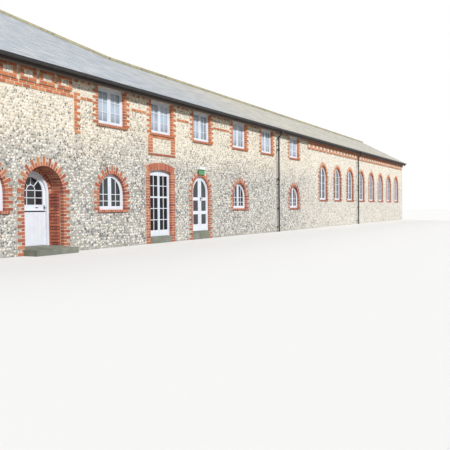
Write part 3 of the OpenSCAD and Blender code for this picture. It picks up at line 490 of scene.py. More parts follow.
def fan_lean(i, count):
    """How far brick number i of a half-round arch leans from upright."""
    return (i + 0.5) * math.pi / count - math.pi / 2


def arch_spots(wall, opening, odd):
    """Places of the long or the short bricks round a round arch."""
    x, w, base, spring, setback = opening
    count = ring_count(w)
    return [wall @ spot(x, -PROUD + random.uniform(-0.002, 0.003), spring, lean=fan_lean(i, count))
            for i in range(count) if i % 2 == odd]


def dressings(name, holes, arched=True):
    """All bricks round a list of like openings, joined as long, short, and arch bricks."""
    x, w, base, spring, setback = holes[0][1]
    deep = PROUD + setback - 0.003
    for parity, kind, reach in ((0, "stretchers", LONG), (1, "headers", SHORT)):
        lay_bricks(f"{name}_{kind}", brick(kind, reach - JOINT + 0.004, COURSE - JOINT, deep),
                   [s for wall, hole in holes for s in jamb_spots(wall, hole, parity)])
    if arched:
        angle = math.pi / ring_count(w) - JOINT / (w / 2)
        for odd, kind, reach in ((0, "long", RING), (1, "short", SHORT - 0.004)):
            lay_bricks(f"{name}_{kind}_voussoirs", voussoir("voussoir", w / 2 - 0.004, angle, reach, deep),
                       [s for wall, hole in holes for s in arch_spots(wall, hole, odd)])


dressings("upper_window", upper_windows, arched=False)
dressings("yard_window", yard_windows)
dressings("hall_window", hall_windows)
dressings("door4", [(FRONT, (DOOR4_X, 1.04, 0.0, 1.49, 0.04))])
dressings("door1", [(FRONT, (DOOR1_X, 2 * DOOR1_HALF, 0.0, DOOR1_SPRING, 0.095))])

# The third doorway: straight jambs one stretcher or two headers wide, under a
# flat arch of bricks on end that lean to one centre far below, the outer ones
# cut to a level foot and a square shoulder.
door3_half, door3_spring, door3_rise = 0.5425, 2.04, 0.07
door3_deep = PROUD + 0.067
door3_courses = 27
wide, narrow = [], []
for side in (-1, 1):
    for i in range(door3_courses):
        z = (i + 0.5) * door3_spring / door3_courses
        for along in (0.098,) if i % 2 == 0 else (0.0435, 0.1535):
            (wide if i % 2 == 0 else narrow).append(
                front(DOOR3_X + side * door3_half + side * along, -PROUD + uneven(0.002), z))
lay_bricks("door3_stretchers", brick("jamb_stretcher", 0.204, 0.064, door3_deep), wide)
lay_bricks("door3_headers", brick("jamb_header", 0.095, 0.064, door3_deep), narrow)
radius = 2.1372
steps = 20
pitch_angle = 2 * math.asin(0.7475 / (radius + RING)) / steps
gauged = voussoir("gauged", radius - 0.003, pitch_angle - 0.009 / radius, RING, door3_deep)
flat_arch = lay_bricks("door3_arch_bricks", gauged,
                       [front(DOOR3_X, -PROUD + uneven(0.002), door3_spring + door3_rise - radius,
                              lean=(i - (steps - 1) / 2) * pitch_angle) for i in range(steps)])
edit(flat_arch)
bpy.ops.mesh.bisect(plane_co=(0, 0, door3_spring + 0.003), plane_no=(0, 0, 1), clear_inner=True,
                    use_fill=True)
bpy.ops.object.mode_set(mode="OBJECT")

# The deep reveal of the first doorway: the same bricks run back into the wall in
# courses, header and stretcher by turns, and close in a rebate round the frame.
half_high = 0.0305
spots = []
for side in (-1, 1):
    for i, z, part in courses(0.0, DOOR1_SPRING, half_high):
        pair = ((0.101, 0.2), (0.311, 0.045)) if i % 2 == 0 else ((0.101, 0.094), (0.205, 0.151))
        for start, size in pair:
            spots.append(front(DOOR1_X + side * (DOOR1_HALF - 0.004), start + size / 2, z,
                               1.0, size / 0.2, part)
                         @ Matrix.Rotation(side * quarter, 4, "Z"))
lay_bricks("door1_reveal_bricks", brick("reveal_brick", 0.2, 2 * half_high, 0.087), spots)


def round_door1(count, depth):
    """Places for a number of arch bricks round the first doorway's centre."""
    return [front(DOOR1_X, depth, DOOR1_SPRING, lean=fan_lean(i, count)) for i in range(count)]


for n, (start, size) in enumerate([(0.098, 0.205), (0.312, 0.046)]):
    soffit = voussoir("soffit", 0.595, math.pi / 25 - JOINT / DOOR1_HALF, 0.09, size - 0.004)
    lay_bricks(f"door1_soffit_bricks_{n}", soffit, round_door1(25, start))
rebate_face = 0.353
rebate = [front(DOOR1_X + side * (DOOR1_HALF - 0.0525), rebate_face, (i + 0.5) * COURSE)
          for side in (-1, 1) for i in range(2, 18)]
lay_bricks("door1_rebate_headers", brick("rebate_header", 0.1, 0.065, 0.05), rebate)
rebate_arch = voussoir("rebate_voussoir", 0.497, math.pi / 21 - JOINT / 0.5, 0.1, 0.05)
lay_bricks("door1_rebate_voussoirs", rebate_arch, round_door1(21, rebate_face))

# Brick sills: bricks on edge under each window, weathered on top and throated
# below, so that a thin line of shadow falls on the wall. The upper ones are laid
# in the darkest brick tones as painted shade.
for name, windows, tones in (("upper_sill_bricks", upper_windows, (0.95, 1.0)),
                             ("arched_sill_bricks", yard_windows + hall_windows, (0.0, 1.0))):
    spots = []
    for wall, (x, w, base, top, setback) in windows:
        n = round((w + 2 * SHORT) / COURSE)
        pitch = (w + 2 * SHORT) / n
        spots += [wall @ spot(x + (i - (n - 1) / 2) * pitch, -0.046, base - 0.029, pitch / COURSE)
                  for i in range(n)]
    lay_bricks(name, brick("sill_brick", COURSE - 0.007, 0.066, 0.112, 0.007), spots, tones)

# Eaves course and lacing: a band of stretchers carried on headers set out like
# teeth, flint panels corbelled out at both ends, lacing courses below the near
# ones and between the windows, and a toothed strip.
BAND, TOOTH = -0.051, -0.052
LENGTH = 0.225
STRIP_X, FAR_PANELS_X = 3.84, 19.415
LACING_Z, STRIP_FOOT = 3.626, 2.801
band_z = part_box("eaves_course")[1][2] - COURSE


def free(middle, half):
    """Whether a stretch of the front lies clear of the upper windows' dressings."""
    return all(middle + half <= x - 0.74 or middle - half >= x + 0.74 for x in UPPER_X)


band, teeth, headers, stretchers = [], [], [], []
for i in range(int(RANGE_LONG / LENGTH)):
    x = LENGTH / 2 + LENGTH * i
    if x < STRIP_X or free(x, 0.10):
        band.append(front(x, BAND, band_z + COURSE / 2))
for i in range(69):
    x = STRIP_X + LENGTH * i + LENGTH / 4
    if free(x, 0.05):
        teeth.append(front(x, TOOTH, band_z - COURSE / 2))
for i in range(1, 7):
    x0 = STRIP_X - 0.562 * i
    for row in range(4):
        z = band_z - (row + 0.5) * COURSE
        if row in (0, 3):
            band += [front(x0 + 0.118 + 0.236 * k, TOOTH, z, 1.04) for k in range(2)]
        else:
            teeth += [front(x0 + along, TOOTH, z) for along in (0.053, 0.419)]
for row in range(2):
    for i in range(90):
        x = FAR_PANELS_X + LENGTH / 2 + LENGTH * i - LENGTH / 2 * (row % 2)
        if 19.51 < x < 39.62:
            band.append(front(x, BAND, band_z - (row + 0.5) * COURSE))
for i in range(37):
    x0 = FAR_PANELS_X + 0.54 * i
    for row in range(3):
        z = band_z - (2 + row + 0.5) * COURSE
        if row == 2:
            band += [front(x0 + LENGTH / 2 + LENGTH * k, TOOTH, z) for k in range(2)]
        else:
            teeth += [front(x0 + along, TOOTH, z) for along in (0.053, 0.397)]
lay_bricks("eaves_stretchers", brick("band_brick", LONG, 0.065, 0.06), band)
lay_bricks("eaves_teeth", brick("tooth", SHORT, 0.065, 0.06), teeth)
corners = [(STRIP_X - 0.562 * i + 0.108, 0.256, band_z - 3 * COURSE) for i in range(1, 7)]
corners += [(FAR_PANELS_X + 0.54 * i + 0.108, 0.234, band_z - 4 * COURSE) for i in range(37)]
nest = [front(x + wide * (k + 0.5 + uneven(0.1)) / 3, -0.043, z + COURSE / 2 + COURSE * row,
              random.uniform(0.06, 0.085), random.uniform(0.016, 0.026), random.uniform(0.045, 0.068),
              uneven(0.5))
        for x, wide, z in corners for k in range(3) for row in range(2)]
lay("eaves_panel_flints", pebble, nest, flint_face, smooth=True)

for row in range(2):
    for i in range(18):
        x = LENGTH / 2 + LENGTH * i - LENGTH / 2 * (row % 2)
        if 0.1 < x < 3.74:
            stretchers.append(front(x, -PROUD, LACING_Z + (row + 0.5) * COURSE))
for i in range(13):
    reach = LONG if i % 2 == 0 else SHORT
    toothed = front(STRIP_X + reach / 2, -PROUD, STRIP_FOOT + (i + 0.5) * COURSE)
    (stretchers if i % 2 == 0 else headers).append(toothed)
x = 4.06
while x < 11.6:
    if all(abs(x + 0.1 - w) > 0.535 + LONG + 0.06 for w in UPPER_X):
        stretchers.append(front(x + LENGTH / 2, -PROUD, LACING_Z + COURSE / 2))
    x += LENGTH

# The flint panel under the second upper window, framed in brick: a course of
# dark headers below, stretchers above, and a stretcher's width at each side.
APRON_X, APRON_Z, APRON_COURSE = 6.835, 2.5, 0.0829
dark_headers = [front(APRON_X + 0.0535 + 0.107 * i, -PROUD, APRON_Z + COURSE / 2) for i in range(13)]
for i in range(1, 7):
    z = APRON_Z + (i + 0.5) * APRON_COURSE
    for x0 in (APRON_X, APRON_X + 1.16):
        if i % 2 == 0:
            stretchers.append(front(x0 + 0.115, -PROUD, z, 1.08, 1.0, 1.08))
        else:
            headers += [front(x0 + along, -PROUD, z, 1.12, 1.0, 1.08) for along in (0.057, 0.172)]
for i in range(4):
    stretchers.append(front(APRON_X + 0.23 + 0.116 + 0.232 * i, -PROUD, 3.08 - COURSE / 2, 1.08))
lay_bricks("lacing_stretchers", brick("lacing_brick", 0.205, 0.065, 0.06), stretchers)
lay_bricks("lacing_headers", brick("lacing_header", 0.094, 0.065, 0.06), headers)
lay_bricks("apron_foot_headers", brick("apron_header", 0.097, 0.065, 0.06), dark_headers, (0.95, 1.0))

# Slate slopes: blue-grey slates nailed to battens in lapped courses, each a
# little off its neighbour in tone and lie, cut to the hips, the valley and the
# verges. The slab below stands for battens and boards, and shows as timber inside.
slate_face, shader, place = new_finish("slate_face")
tint = tint_of(place)
far = (place.axis("X") + place.noise(0.4, 2.0) * 4.0).between(-12.0, 0.0)
grey = tint.ramp((0.0, 162, 170, 177), (0.2, 156, 163, 171), (0.4, 171, 176, 181), (0.6, 160, 166, 173),
                 (0.75, 152, 158, 167), (0.88, 175, 178, 180), (0.96, 144, 150, 158), steps=True)
warm = tint.ramp((0.0, 184, 180, 170), (0.25, 176, 173, 164), (0.5, 190, 186, 174), (0.75, 170, 167, 159),
                 (0.9, 196, 191, 178), steps=True)
riven = place.stretched(1.0, 0.35, 0.35).noise(26.0, 5.0, 0.6)
stain = place.stretched(1.0, 0.25, 0.25).noise(2.2, 4.0)
colour = blend(far, grey, warm)
colour = blend(stain.between(0.35, 0.75) * 0.18, colour, (138, 142, 142))
lichen = place.noise(34.0, 4.0, 0.65).between(0.66, 0.74)
colour = blend(lichen * 0.45, colour, (206, 204, 178))
coat(shader, colour, 0.52 + riven * 0.22, riven, 0.003)

battens, shader, place = new_finish("battens")
grain = place.stretched(0.6, 9.0, 9.0).noise(7.0, 4.0, 0.6)
coat(shader, grain.ramp((0.3, 88, 68, 50), (0.6, 122, 96, 70), (0.8, 142, 114, 84)), 0.85, grain, 0.002)
dress(battens, "roof_front", "roof_range_back", "roof_block_side", "roof_block_back")

pitch = math.radians(28)
# On the plan, from the near front corner of the walls
VERGE, FAR_VERGE, EAVES_OUT = -0.05, 39.77, 0.27
RIDGE_Y, BLOCK_RIDGE_Y = 3.095, 5.545
HIP_X, VALLEY_X = 6.545, 8.995
SIDE_EAVES, BACK_EAVES = 12.36, 11.36
RANGE_BACK_EAVES = 6.46
RANGE_RUN, BLOCK_RUN = 3.365, 5.815
eaves_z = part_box("roof_front")[1][2] - BLOCK_RUN * math.tan(pitch)
GAUGE, WIDTH, SLATE_LONG = 0.21, 0.255, 0.40
slate = brick("slate", WIDTH - 0.006, SLATE_LONG, 0.008, 0.0015)
slate.data.transform(Matrix.Translation((0, 0, SLATE_LONG / 2)))


def slope_frame(corner, along, up):
    """A slope's own directions: along its eaves, out of it, and up it."""
    u, level = Vector((*along, 0)), Vector((*up, 0))
    rise = (level * math.cos(pitch) + Vector((0, 0, math.sin(pitch)))).normalized()
    out = Vector((-up[0] * math.sin(pitch), -up[1] * math.sin(pitch), math.cos(pitch)))
    turn = Matrix((u, -out, rise)).transposed().to_4x4()
    return Matrix.Translation(Vector((start_x, face_y, 0)) + Vector((*corner, eaves_z))) @ turn


def on_slope(name, x, y):
    """Whether a point of the plan belongs to this slope."""
    if name == "front_slates":
        return y < BLOCK_RIDGE_Y and (x < HIP_X or y < max(RIDGE_Y, HIP_X + BLOCK_RIDGE_Y - x))
    if name == "range_back_slates":
        return y > RIDGE_Y and x > max(y + VALLEY_X - RIDGE_Y, VALLEY_X)
    if name == "block_side_slates":
        return (x < SIDE_EAVES and HIP_X + BLOCK_RIDGE_Y - x < y < x - HIP_X + BLOCK_RIDGE_Y
                and y > x - VALLEY_X + RIDGE_Y)
    return y > BLOCK_RIDGE_Y and y > x - HIP_X + BLOCK_RIDGE_Y


hip_foot, valley_foot = (SIDE_EAVES, BACK_EAVES), (SIDE_EAVES, RANGE_BACK_EAVES)
verges = [((VERGE, 0), (-1, 0)), ((FAR_VERGE, 0), (1, 0))]
slopes = [
    ("front_slates", (VERGE, -EAVES_OUT), (1, 0), (0, 1), 39.82, BLOCK_RUN, []),
    ("range_back_slates", (FAR_VERGE, RANGE_BACK_EAVES), (-1, 0), (0, -1), 30.775, RANGE_RUN,
     [(valley_foot, (-1, 1)), ((VALLEY_X, RIDGE_Y), (0, -1))]),
    ("block_side_slates", valley_foot, (0, 1), (-1, 0), 4.9, BLOCK_RUN,
     [(valley_foot, (1, -1)), (hip_foot, (-1, 1)), ((VALLEY_X, RIDGE_Y), (-1, -1))]),
    ("block_back_slates", hip_foot, (-1, 0), (0, -1), 12.41, BLOCK_RUN,
     [(hip_foot, (1, -1)), ((0, BLOCK_RIDGE_Y), (0, -1))]),
]
for name, corner, along, up, length, run, cuts in slopes:
    lie = slope_frame(corner, along, up)
    slant = run / math.cos(pitch)
    spots = []
    for row in range(int(slant / GAUGE) + 1):
        low = row * GAUGE - 0.012
        for k in range(-40, int(length / WIDTH) + 45):
            u = (k + 0.5 * (row % 2)) * WIDTH
            on = False
            for du, dv in ((0, 0), (-0.12, 0), (0.12, 0), (-0.12, 0.18), (0.12, 0.18)):
                v = (low + 0.01 + dv) * math.cos(pitch)
                x = corner[0] + along[0] * (u + du) + up[0] * v
                y = corner[1] + along[1] * (u + du) + up[1] * v
                on = on or (on_slope(name, x, y) and VERGE < x < FAR_VERGE)
            if on:
                tail = max(0.3, (slant - low) / SLATE_LONG) if low + SLATE_LONG > slant else 1.0
                place = (u + uneven(0.002), -0.0175, low + uneven(0.003))
                tip = math.radians(-1.55) + uneven(0.0025)
                spots.append(lie @ Matrix.Translation(place) @ Matrix.Rotation(tip, 4, "X")
                             @ Matrix.Rotation(uneven(0.004), 4, "Y")
                             @ Matrix.Diagonal((1, 1, tail, 1)))
    piece = lay(name, slate, spots, slate_face, keep=True)
    edit(piece)
    for (px, py), (nx, ny) in verges + cuts:
        bpy.ops.mesh.select_all(action="SELECT")
        bpy.ops.mesh.bisect(plane_co=(start_x + px, face_y + py, 0), plane_no=(nx, ny, 0), clear_outer=True,
                            use_fill=True)
    bpy.ops.object.mode_set(mode="OBJECT")
bpy.data.objects.remove(slate)

# Ridge and hips: half-round clay tiles butted in mortar along the ridges and
# down the hips, browned and grown over with yellow-green lichen.
ridge_face, shader, place = new_finish("ridge_face")
clay = tint_of(place).ramp((0.0, 150, 144, 124), (0.3, 134, 126, 110), (0.6, 162, 154, 130),
                           (0.85, 122, 112, 98), steps=True)
moss = place.noise(9.0, 5.0, 0.6).between(0.40, 0.62)
colour = blend(moss * 0.7, clay, (172, 170, 126))
# Pale flecks: painted highlights on the tiles.
colour = blend(place.noise(40.0, 3.0).between(0.6, 0.7) * 0.6, colour, (206, 202, 168))
coat(shader, colour, 0.9, moss + place.noise(70.0, 3.0) * 0.4, 0.004)

bpy.ops.object.select_all(action="DESELECT")
bpy.ops.mesh.primitive_cylinder_add(vertices=24, radius=0.093, depth=0.44, end_fill_type="NOTHING",
                                    location=(0, 0, 0))
edit(bpy.context.active_object)
bpy.ops.transform.rotate(value=quarter, orient_axis="Y", center_override=(0, 0, 0))
bpy.ops.mesh.select_all(action="SELECT")
bpy.ops.mesh.bisect(plane_co=(0, 0, -0.035), plane_no=(0, 0, -1), clear_outer=True)
tile = as_modelled("tile")
shell = tile.modifiers.new("shell", "SOLIDIFY")
shell.thickness = 0.014
shell.offset = -1
bpy.ops.object.modifier_apply(modifier="shell")
top_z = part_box("ridge_and_hip_rolls")[1][2] - 0.095
hip_top = (HIP_X, BLOCK_RIDGE_Y, top_z)
valley_top = (VALLEY_X, RIDGE_Y, eaves_z + RANGE_RUN * math.tan(pitch))
spots = []
for a, b in (((VERGE, BLOCK_RIDGE_Y, top_z), hip_top), (valley_top, (FAR_VERGE, *valley_top[1:])),
             (hip_top, valley_top), (hip_top, (12.33, 11.33, eaves_z + 0.016))):
    a, b = Vector(a), Vector(b)
    run = (b - a).length
    n = round(run / 0.45)
    turn = (b - a).to_track_quat("X", "Z").to_matrix().to_4x4()
    for i in range(n):
        middle = a + (b - a) * ((i + 0.5) / n)
        spots.append(Matrix.Translation(middle + Vector((start_x, face_y, 0))) @ turn
                     @ Matrix.Rotation(uneven(0.01), 4, "Z")
                     @ Matrix.Diagonal((run / n / 0.447, 1, 1, 1)))
lay("ridge_tiles", tile, spots, ridge_face)
dress(ridge_face, "ridge_and_hip_rolls")

# Rainwater goods: half-round cast-iron gutters on brackets screwed to the
# fascia, lengths joined in sleeves, and round downpipes with eared sockets,
# all in black paint that has dulled to dark grey.
black_paint, shader, place = new_finish("black_paint")
dust = place.noise(5.0, 4.0)
streak = place.stretched(14.0, 14.0, 1.2).noise(1.0, 3.0).between(0.5, 0.75)
colour = blend(dust.between(0.45, 0.75) * 0.5, (42, 42, 45), (74, 73, 72))
colour = blend(streak * 0.35, colour, (92, 88, 84))
coat(shader, colour, 0.42 + dust * 0.25, dust + place.noise(60.0, 2.0) * 0.2, 0.0015)
dress(black_paint, "gutters", "downpipes")


def spun(name, wide, deep, middle, axis, sweep, steps, start=0.0):
    """A flat strip of this width and depth, turned to its start and spun round 0."""
    bpy.ops.object.select_all(action="DESELECT")
    bpy.ops.mesh.primitive_plane_add(size=1, location=middle)
    shape = bpy.context.active_object
    shape.scale = (wide, deep, 1)
    bpy.ops.object.transform_apply(location=True, rotation=False, scale=True)
    edit(shape)
    if start:
        bpy.ops.transform.rotate(value=start, orient_axis="X", center_override=(0, 0, 0))
        bpy.ops.mesh.select_all(action="SELECT")
    bpy.ops.mesh.spin(steps=steps, angle=sweep, axis=axis, center=(0, 0, 0))
    bpy.ops.mesh.select_all(action="SELECT")
    bpy.ops.mesh.normals_make_consistent(inside=False)
    return as_modelled(name)


def strap(name, wide, r_in, r_out, low, high):
    """A bent strip below a gutter, from one angle to another, about its centre line."""
    low, high = math.radians(low), math.radians(high)
    return spun(name, wide, r_out - r_in, (0, -(r_in + r_out) / 2, 0), (1, 0, 0), low - high, 10, -low)


gutter_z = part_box("gutters")[1][2]
gutter_out = -0.271
brackets, sleeves = [], []
for wall, u0, u1 in ((FRONT, 0.0, 39.7), (RANGE_BACK, 12.7, 39.7), (BLOCK_BACK, 0.0, 12.1),
                     (BLOCK_SIDE, 0.4, 5.0)):
    n = round((u1 - u0) / 0.92)
    brackets += [wall @ spot(u0 + 0.3 + (u1 - u0 - 0.6) * i / n, gutter_out, gutter_z) for i in range(n + 1)]
    n = round((u1 - u0) / 1.83)
    sleeves += [wall @ spot(u0 + (i + 0.5) * (u1 - u0) / n, gutter_out, gutter_z) for i in range(n)]
lay("gutter_brackets", strap("bracket", 0.03, 0.0555, 0.0612, 27, 150), brackets, black_paint)
lay("gutter_sleeves", strap("sleeve", 0.07, 0.0555, 0.0592, 20, 160), sleeves, black_paint)

bpy.ops.object.select_all(action="DESELECT")
bpy.ops.mesh.primitive_cylinder_add(vertices=24, radius=0.0385, depth=0.09, location=(0, 0, 0))
bpy.ops.object.mode_set(mode="EDIT")
pick(bpy.context.active_object, lambda normal: normal.z > 0.9)
bpy.ops.mesh.extrude_region_move(TRANSFORM_OT_translate={"value": (0, 0, 0.008)})
bpy.ops.transform.resize(value=(1.13, 1.13, 1))
bpy.ops.mesh.extrude_region_move(TRANSFORM_OT_translate={"value": (0, 0, 0.012)})
bpy.ops.mesh.inset(thickness=0.008)
bpy.ops.mesh.extrude_region_move(TRANSFORM_OT_translate={"value": (0, 0, -0.006)})
socket = as_modelled("socket")
joints = [(x, z) for x in (15.89, 27.56) for z in (0.95, 2.15, 3.35)]
lay("downpipe_sockets", socket, [front(x, -0.109, z) for x, z in joints], black_paint)
ear = brick("ear", 0.15, 0.055, 0.012, 0.004)
lay("downpipe_ears", ear, [front(x, -0.075, z) for x, z in joints], black_paint)

# Fascia boards: planed softwood nailed to the rafter feet, in a dark brown that
# is painted shade under the gutters, and that has worn thin along the grain.
shade_brown_paint, shader, place = new_finish("shade_brown_paint")
grain = place.stretched(0.8, 14.0, 14.0).noise(6.0, 4.0, 0.6)
colour = blend(grain.between(0.45, 0.75) * 0.6, (54, 42, 36), (84, 68, 56))
coat(shader, colour, 0.6 + grain * 0.2, grain, 0.001)
dress(shade_brown_paint, "fascia_boards")

# Painted joinery: softwood frames and casements in white gloss that has
# weathered a little grey in places. The upper panes are pale, a painted
# reflection of the sky, and the lower ones dark, painted shade of a room behind.
white_paint, shader, place = new_finish("white_paint")
film = place.noise(4.0, 4.0)
brushed = place.stretched(30.0, 30.0, 3.0).noise(3.0, 3.0)
colour = blend(film.between(0.40, 0.72) * 0.5, (226, 231, 239), (208, 214, 222))
colour = blend(place.noise(26.0, 5.0, 0.65).between(0.66, 0.76) * 0.5, colour, (196, 196, 190))
coat(shader, colour, 0.38 + film * 0.2, brushed * 0.6 + film * 0.3, 0.0008)
dress(white_paint, "upper_window_frames", "yard_window_frames", "hall_window_frames", "door1_frame",
      "door1_lower_leaf", "door1_upper_leaf", "door3_frame", "door3_left_leaf", "door3_right_leaf",
      "door4_frame", "door4_left_leaf", "door4_right_leaf")

glass, shader, place = new_finish("glass")
ripple = place.noise(2.6, 2.0)
# Upper panes: a painted reflection of the sky. Lower panes: painted shade of the room behind. Darker blotches
# vary the painted reflection.
painted_sky_upstairs = place.axis("Z").between(2.9, 3.6)
colour = blend(painted_sky_upstairs, (26, 31, 36), (178, 194, 208))
painted_reflection_blotches = place.noise(1.1, 2.0).between(0.45, 0.60)
colour = blend(painted_reflection_blotches * 0.6, colour, blend(painted_sky_upstairs, (48, 56, 62), (96, 110, 124)))
coat(shader, colour, 0.06 + ripple * 0.05, ripple, 0.004)
shader.inputs["Specular IOR Level"].default_value = 0.6
dress(glass, "upper_window_glass", "yard_window_glass", "hall_window_glass", "door1_glass",
      "door4_left_glass", "door4_right_glass")

dark_glass, shader, place = new_finish("dark_glass")
ripple = place.noise(2.2, 2.0)
# Near black: painted shade of the room behind the glass.
coat(shader, blend(ripple, (6, 9, 16), (16, 19, 26)), 0.05 + ripple * 0.05, ripple, 0.003)
shader.inputs["Specular IOR Level"].default_value = 0.16
dress(dark_glass, "door3_left_glass", "door3_right_glass")


def stick():
    """A square stick one metre each way, its arrises eased when it is drawn thin."""
    return brick("stick", 1.0, 1.0, 1.0, 0.12)


def bars(name, sticks, finish, body="building"):
    """Square sticks of wood or metal, each (wall, x0, z0, x1, z1, outer face, depth)."""
    spots = [wall @ spot((x0 + x1) / 2, face, (z0 + z1) / 2, x1 - x0, deep, z1 - z0)
             for wall, x0, z0, x1, z1, face, deep in sticks]
    return lay(name, stick(), spots, finish, body)


def wood(name, sticks, body="building"):
    return bars(name, sticks, white_paint, body)


# Casements: two to a window, each a light sash hung in the frame with thin
# glazing bars, two panes wide and three or four high.
FRAME, STILE, BAR, MEETING = 0.055, 0.036, 0.009, 0.0275
SASH, RAIL, UPRIGHT, LEVEL = 0.078, 0.080, 0.086, 0.087
rails, thin = [], []
for wall, (x, w, base, top, setback) in upper_windows:
    for side in (-1, 1):
        x0, x1 = sorted((x + side * MEETING, x + side * (w / 2 - FRAME)))
        z0, z1 = base + FRAME, top - FRAME
        for a, b in ((x0, x0 + STILE), (x1 - STILE, x1)):
            rails.append((wall, a, z0, b, z1, SASH, 0.03))
        for a, b in ((z0, z0 + 0.042), (z1 - STILE, z1)):
            rails.append((wall, x0 + STILE, a, x1 - STILE, b, RAIL, 0.03))
        middle = (x0 + x1) / 2
        thin.append((wall, middle - 0.01, z0 + 0.03, middle + 0.01, z1 - 0.02, UPRIGHT, 0.018))
        for k in (1, 2):
            z = z0 + (z1 - z0) * k / 3
            thin.append((wall, x0 + 0.03, z - BAR, x1 - 0.03, z + BAR, LEVEL, 0.018))
for wall, (x, w, base, spring, setback) in yard_windows + hall_windows:
    r = w / 2 - FRAME
    rows = 4 if spring + r - base > 1.3 else 3
    z0 = base + FRAME
    for side in (-1, 1):
        x0, x1 = sorted((x + side * MEETING, x + side * r))
        rails.append((wall, x0, z0, x1, z0 + 0.04, RAIL, 0.03))
        a, b = sorted((x + side * MEETING, x + side * 0.0625))
        rails.append((wall, a, z0, b, spring + r - 0.012, SASH, 0.03))
        a, b = sorted((x + side * (r - 0.034), x + side * r))
        rails.append((wall, a, z0, b, spring + 0.03, SASH, 0.03))
        middle = x + side * (MEETING + r) / 2
        head = spring + math.sqrt(r * r - (middle - x) ** 2) + 0.012
        thin.append((wall, middle - 0.01, z0 + 0.02, middle + 0.01, head, UPRIGHT, 0.018))
        for k in range(1, rows):
            z = z0 + (spring - z0 + (0.0 if rows == 3 else 0.1)) * k / (rows - 1)
            reach = math.sqrt(max(0.01, r * r - max(0.0, z - spring) ** 2)) + 0.01
            a, b = sorted((x + side * 0.04, x + side * reach))
            thin.append((wall, a, z - BAR, b, z + BAR, LEVEL, 0.018))
wood("casement_rails", rails)
wood("glazing_bars", thin)


def bowed_sash(name, radius, thick, face, deep):
    """The curved head of a sash: a half ring about 0, its outer edge at the radius."""
    return spun(name, thick, deep, (radius - thick / 2, face + deep / 2, 0), (0, 1, 0), math.pi, 20)


for name, windows in (("yard_sash_heads", yard_windows), ("hall_sash_heads", hall_windows)):
    x, w, base, spring, setback = windows[0][1]
    lay(name, bowed_sash("bow", w / 2 - 0.054, 0.034, SASH, 0.03),
        [wall @ spot(hole[0], 0, spring) for wall, hole in windows], white_paint)

# The stable door: a boarded lower leaf, and a glazed upper one whose bars make a
# small half-round at the springing with three bars that spread from it like a fan.
# A drip board, a letter slot and a lever handle are on the upper leaf.
fan_z, fan_r, bar_face = 1.43, 0.125, 0.410
boards = [DOOR1_X - 0.42 + 0.12 * i for i in range(7)]
wood("door1_boards", [(FRONT, x + 0.0012, 0.185, x + 0.1188, 0.937, 0.397, 0.01) for x in boards],
     "door1_lower")
wood("door1_drip", [(FRONT, DOOR1_X - 0.395, 0.966, DOOR1_X + 0.395, 0.992, 0.372, 0.034)], "door1_upper")
upright_bars = [(DOOR1_X + side * fan_r - BAR, 1.09, DOOR1_X + side * fan_r + BAR, fan_z) for side in (-1, 1)]
level_bars = [(DOOR1_X - 0.365, z - BAR, DOOR1_X + 0.365, z + BAR) for z in (fan_z, 1.262)]
wood("door1_bars", [(FRONT, *bar, bar_face, 0.016) for bar in upright_bars + level_bars], "door1_upper")
fan = []
for turn, reach in ((-45, 0.325), (0, 0.29), (45, 0.325)):
    lean, r = math.radians(turn), (fan_r + reach) / 2
    fan.append(front(DOOR1_X + r * math.sin(lean), 0.4105, fan_z + r * math.cos(lean),
                     2 * BAR, 0.0155, reach - fan_r, lean))
lay("door1_fan_bars", stick(), fan, white_paint, "door1_upper")
lay("door1_fan_bow", bowed_sash("bow", fan_r + BAR, 0.018, bar_face, 0.016), [front(DOOR1_X, 0, fan_z)],
    white_paint, "door1_upper")

# Garden doors: two pairs of outward-opening leaves, glazed nearly to the ground,
# the flat-headed pair with thin bars, the round-headed pair with deep rails and
# a broad cover strip on its meeting stiles.
for side, body in ((-1, "door3_left"), (1, "door3_right")):
    inner, outer = sorted((DOOR3_X + side * 0.046, DOOR3_X + side * 0.4495))
    middle = (inner + outer) / 2
    sticks = [(FRONT, middle - 0.010, 0.36, middle + 0.010, 1.95, 0.074, 0.022)]
    for z, half, face in ((1.647, 0.011, 0.075), (1.32, 0.0225, 0.068), (0.996, 0.011, 0.075),
                          (0.669, 0.011, 0.075)):
        sticks.append((FRONT, inner - 0.006, z - half, outer + 0.006, z + half, face, 0.026))
    wood(f"{body}_bars", sticks, body)
    wood(f"{body}_kick", [(FRONT, inner + 0.016, 0.225, outer - 0.016, 0.335, 0.066, 0.012)], body)
for side, body in ((-1, "door4_left"), (1, "door4_right")):
    inner, outer = sorted((DOOR4_X + side * 0.068, DOOR4_X + side * 0.405))
    sticks = [(FRONT, inner - 0.008, low, outer + 0.008, high, 0.037, 0.026)
              for low, high in ((1.24, 1.34), (0.80, 0.905))]
    a, b = sorted((DOOR4_X + side * 0.008, DOOR4_X + side * 0.098))
    sticks.append((FRONT, a, 0.29, b, 1.87, 0.035, 0.026))
    wood(f"{body}_bars", sticks, body)

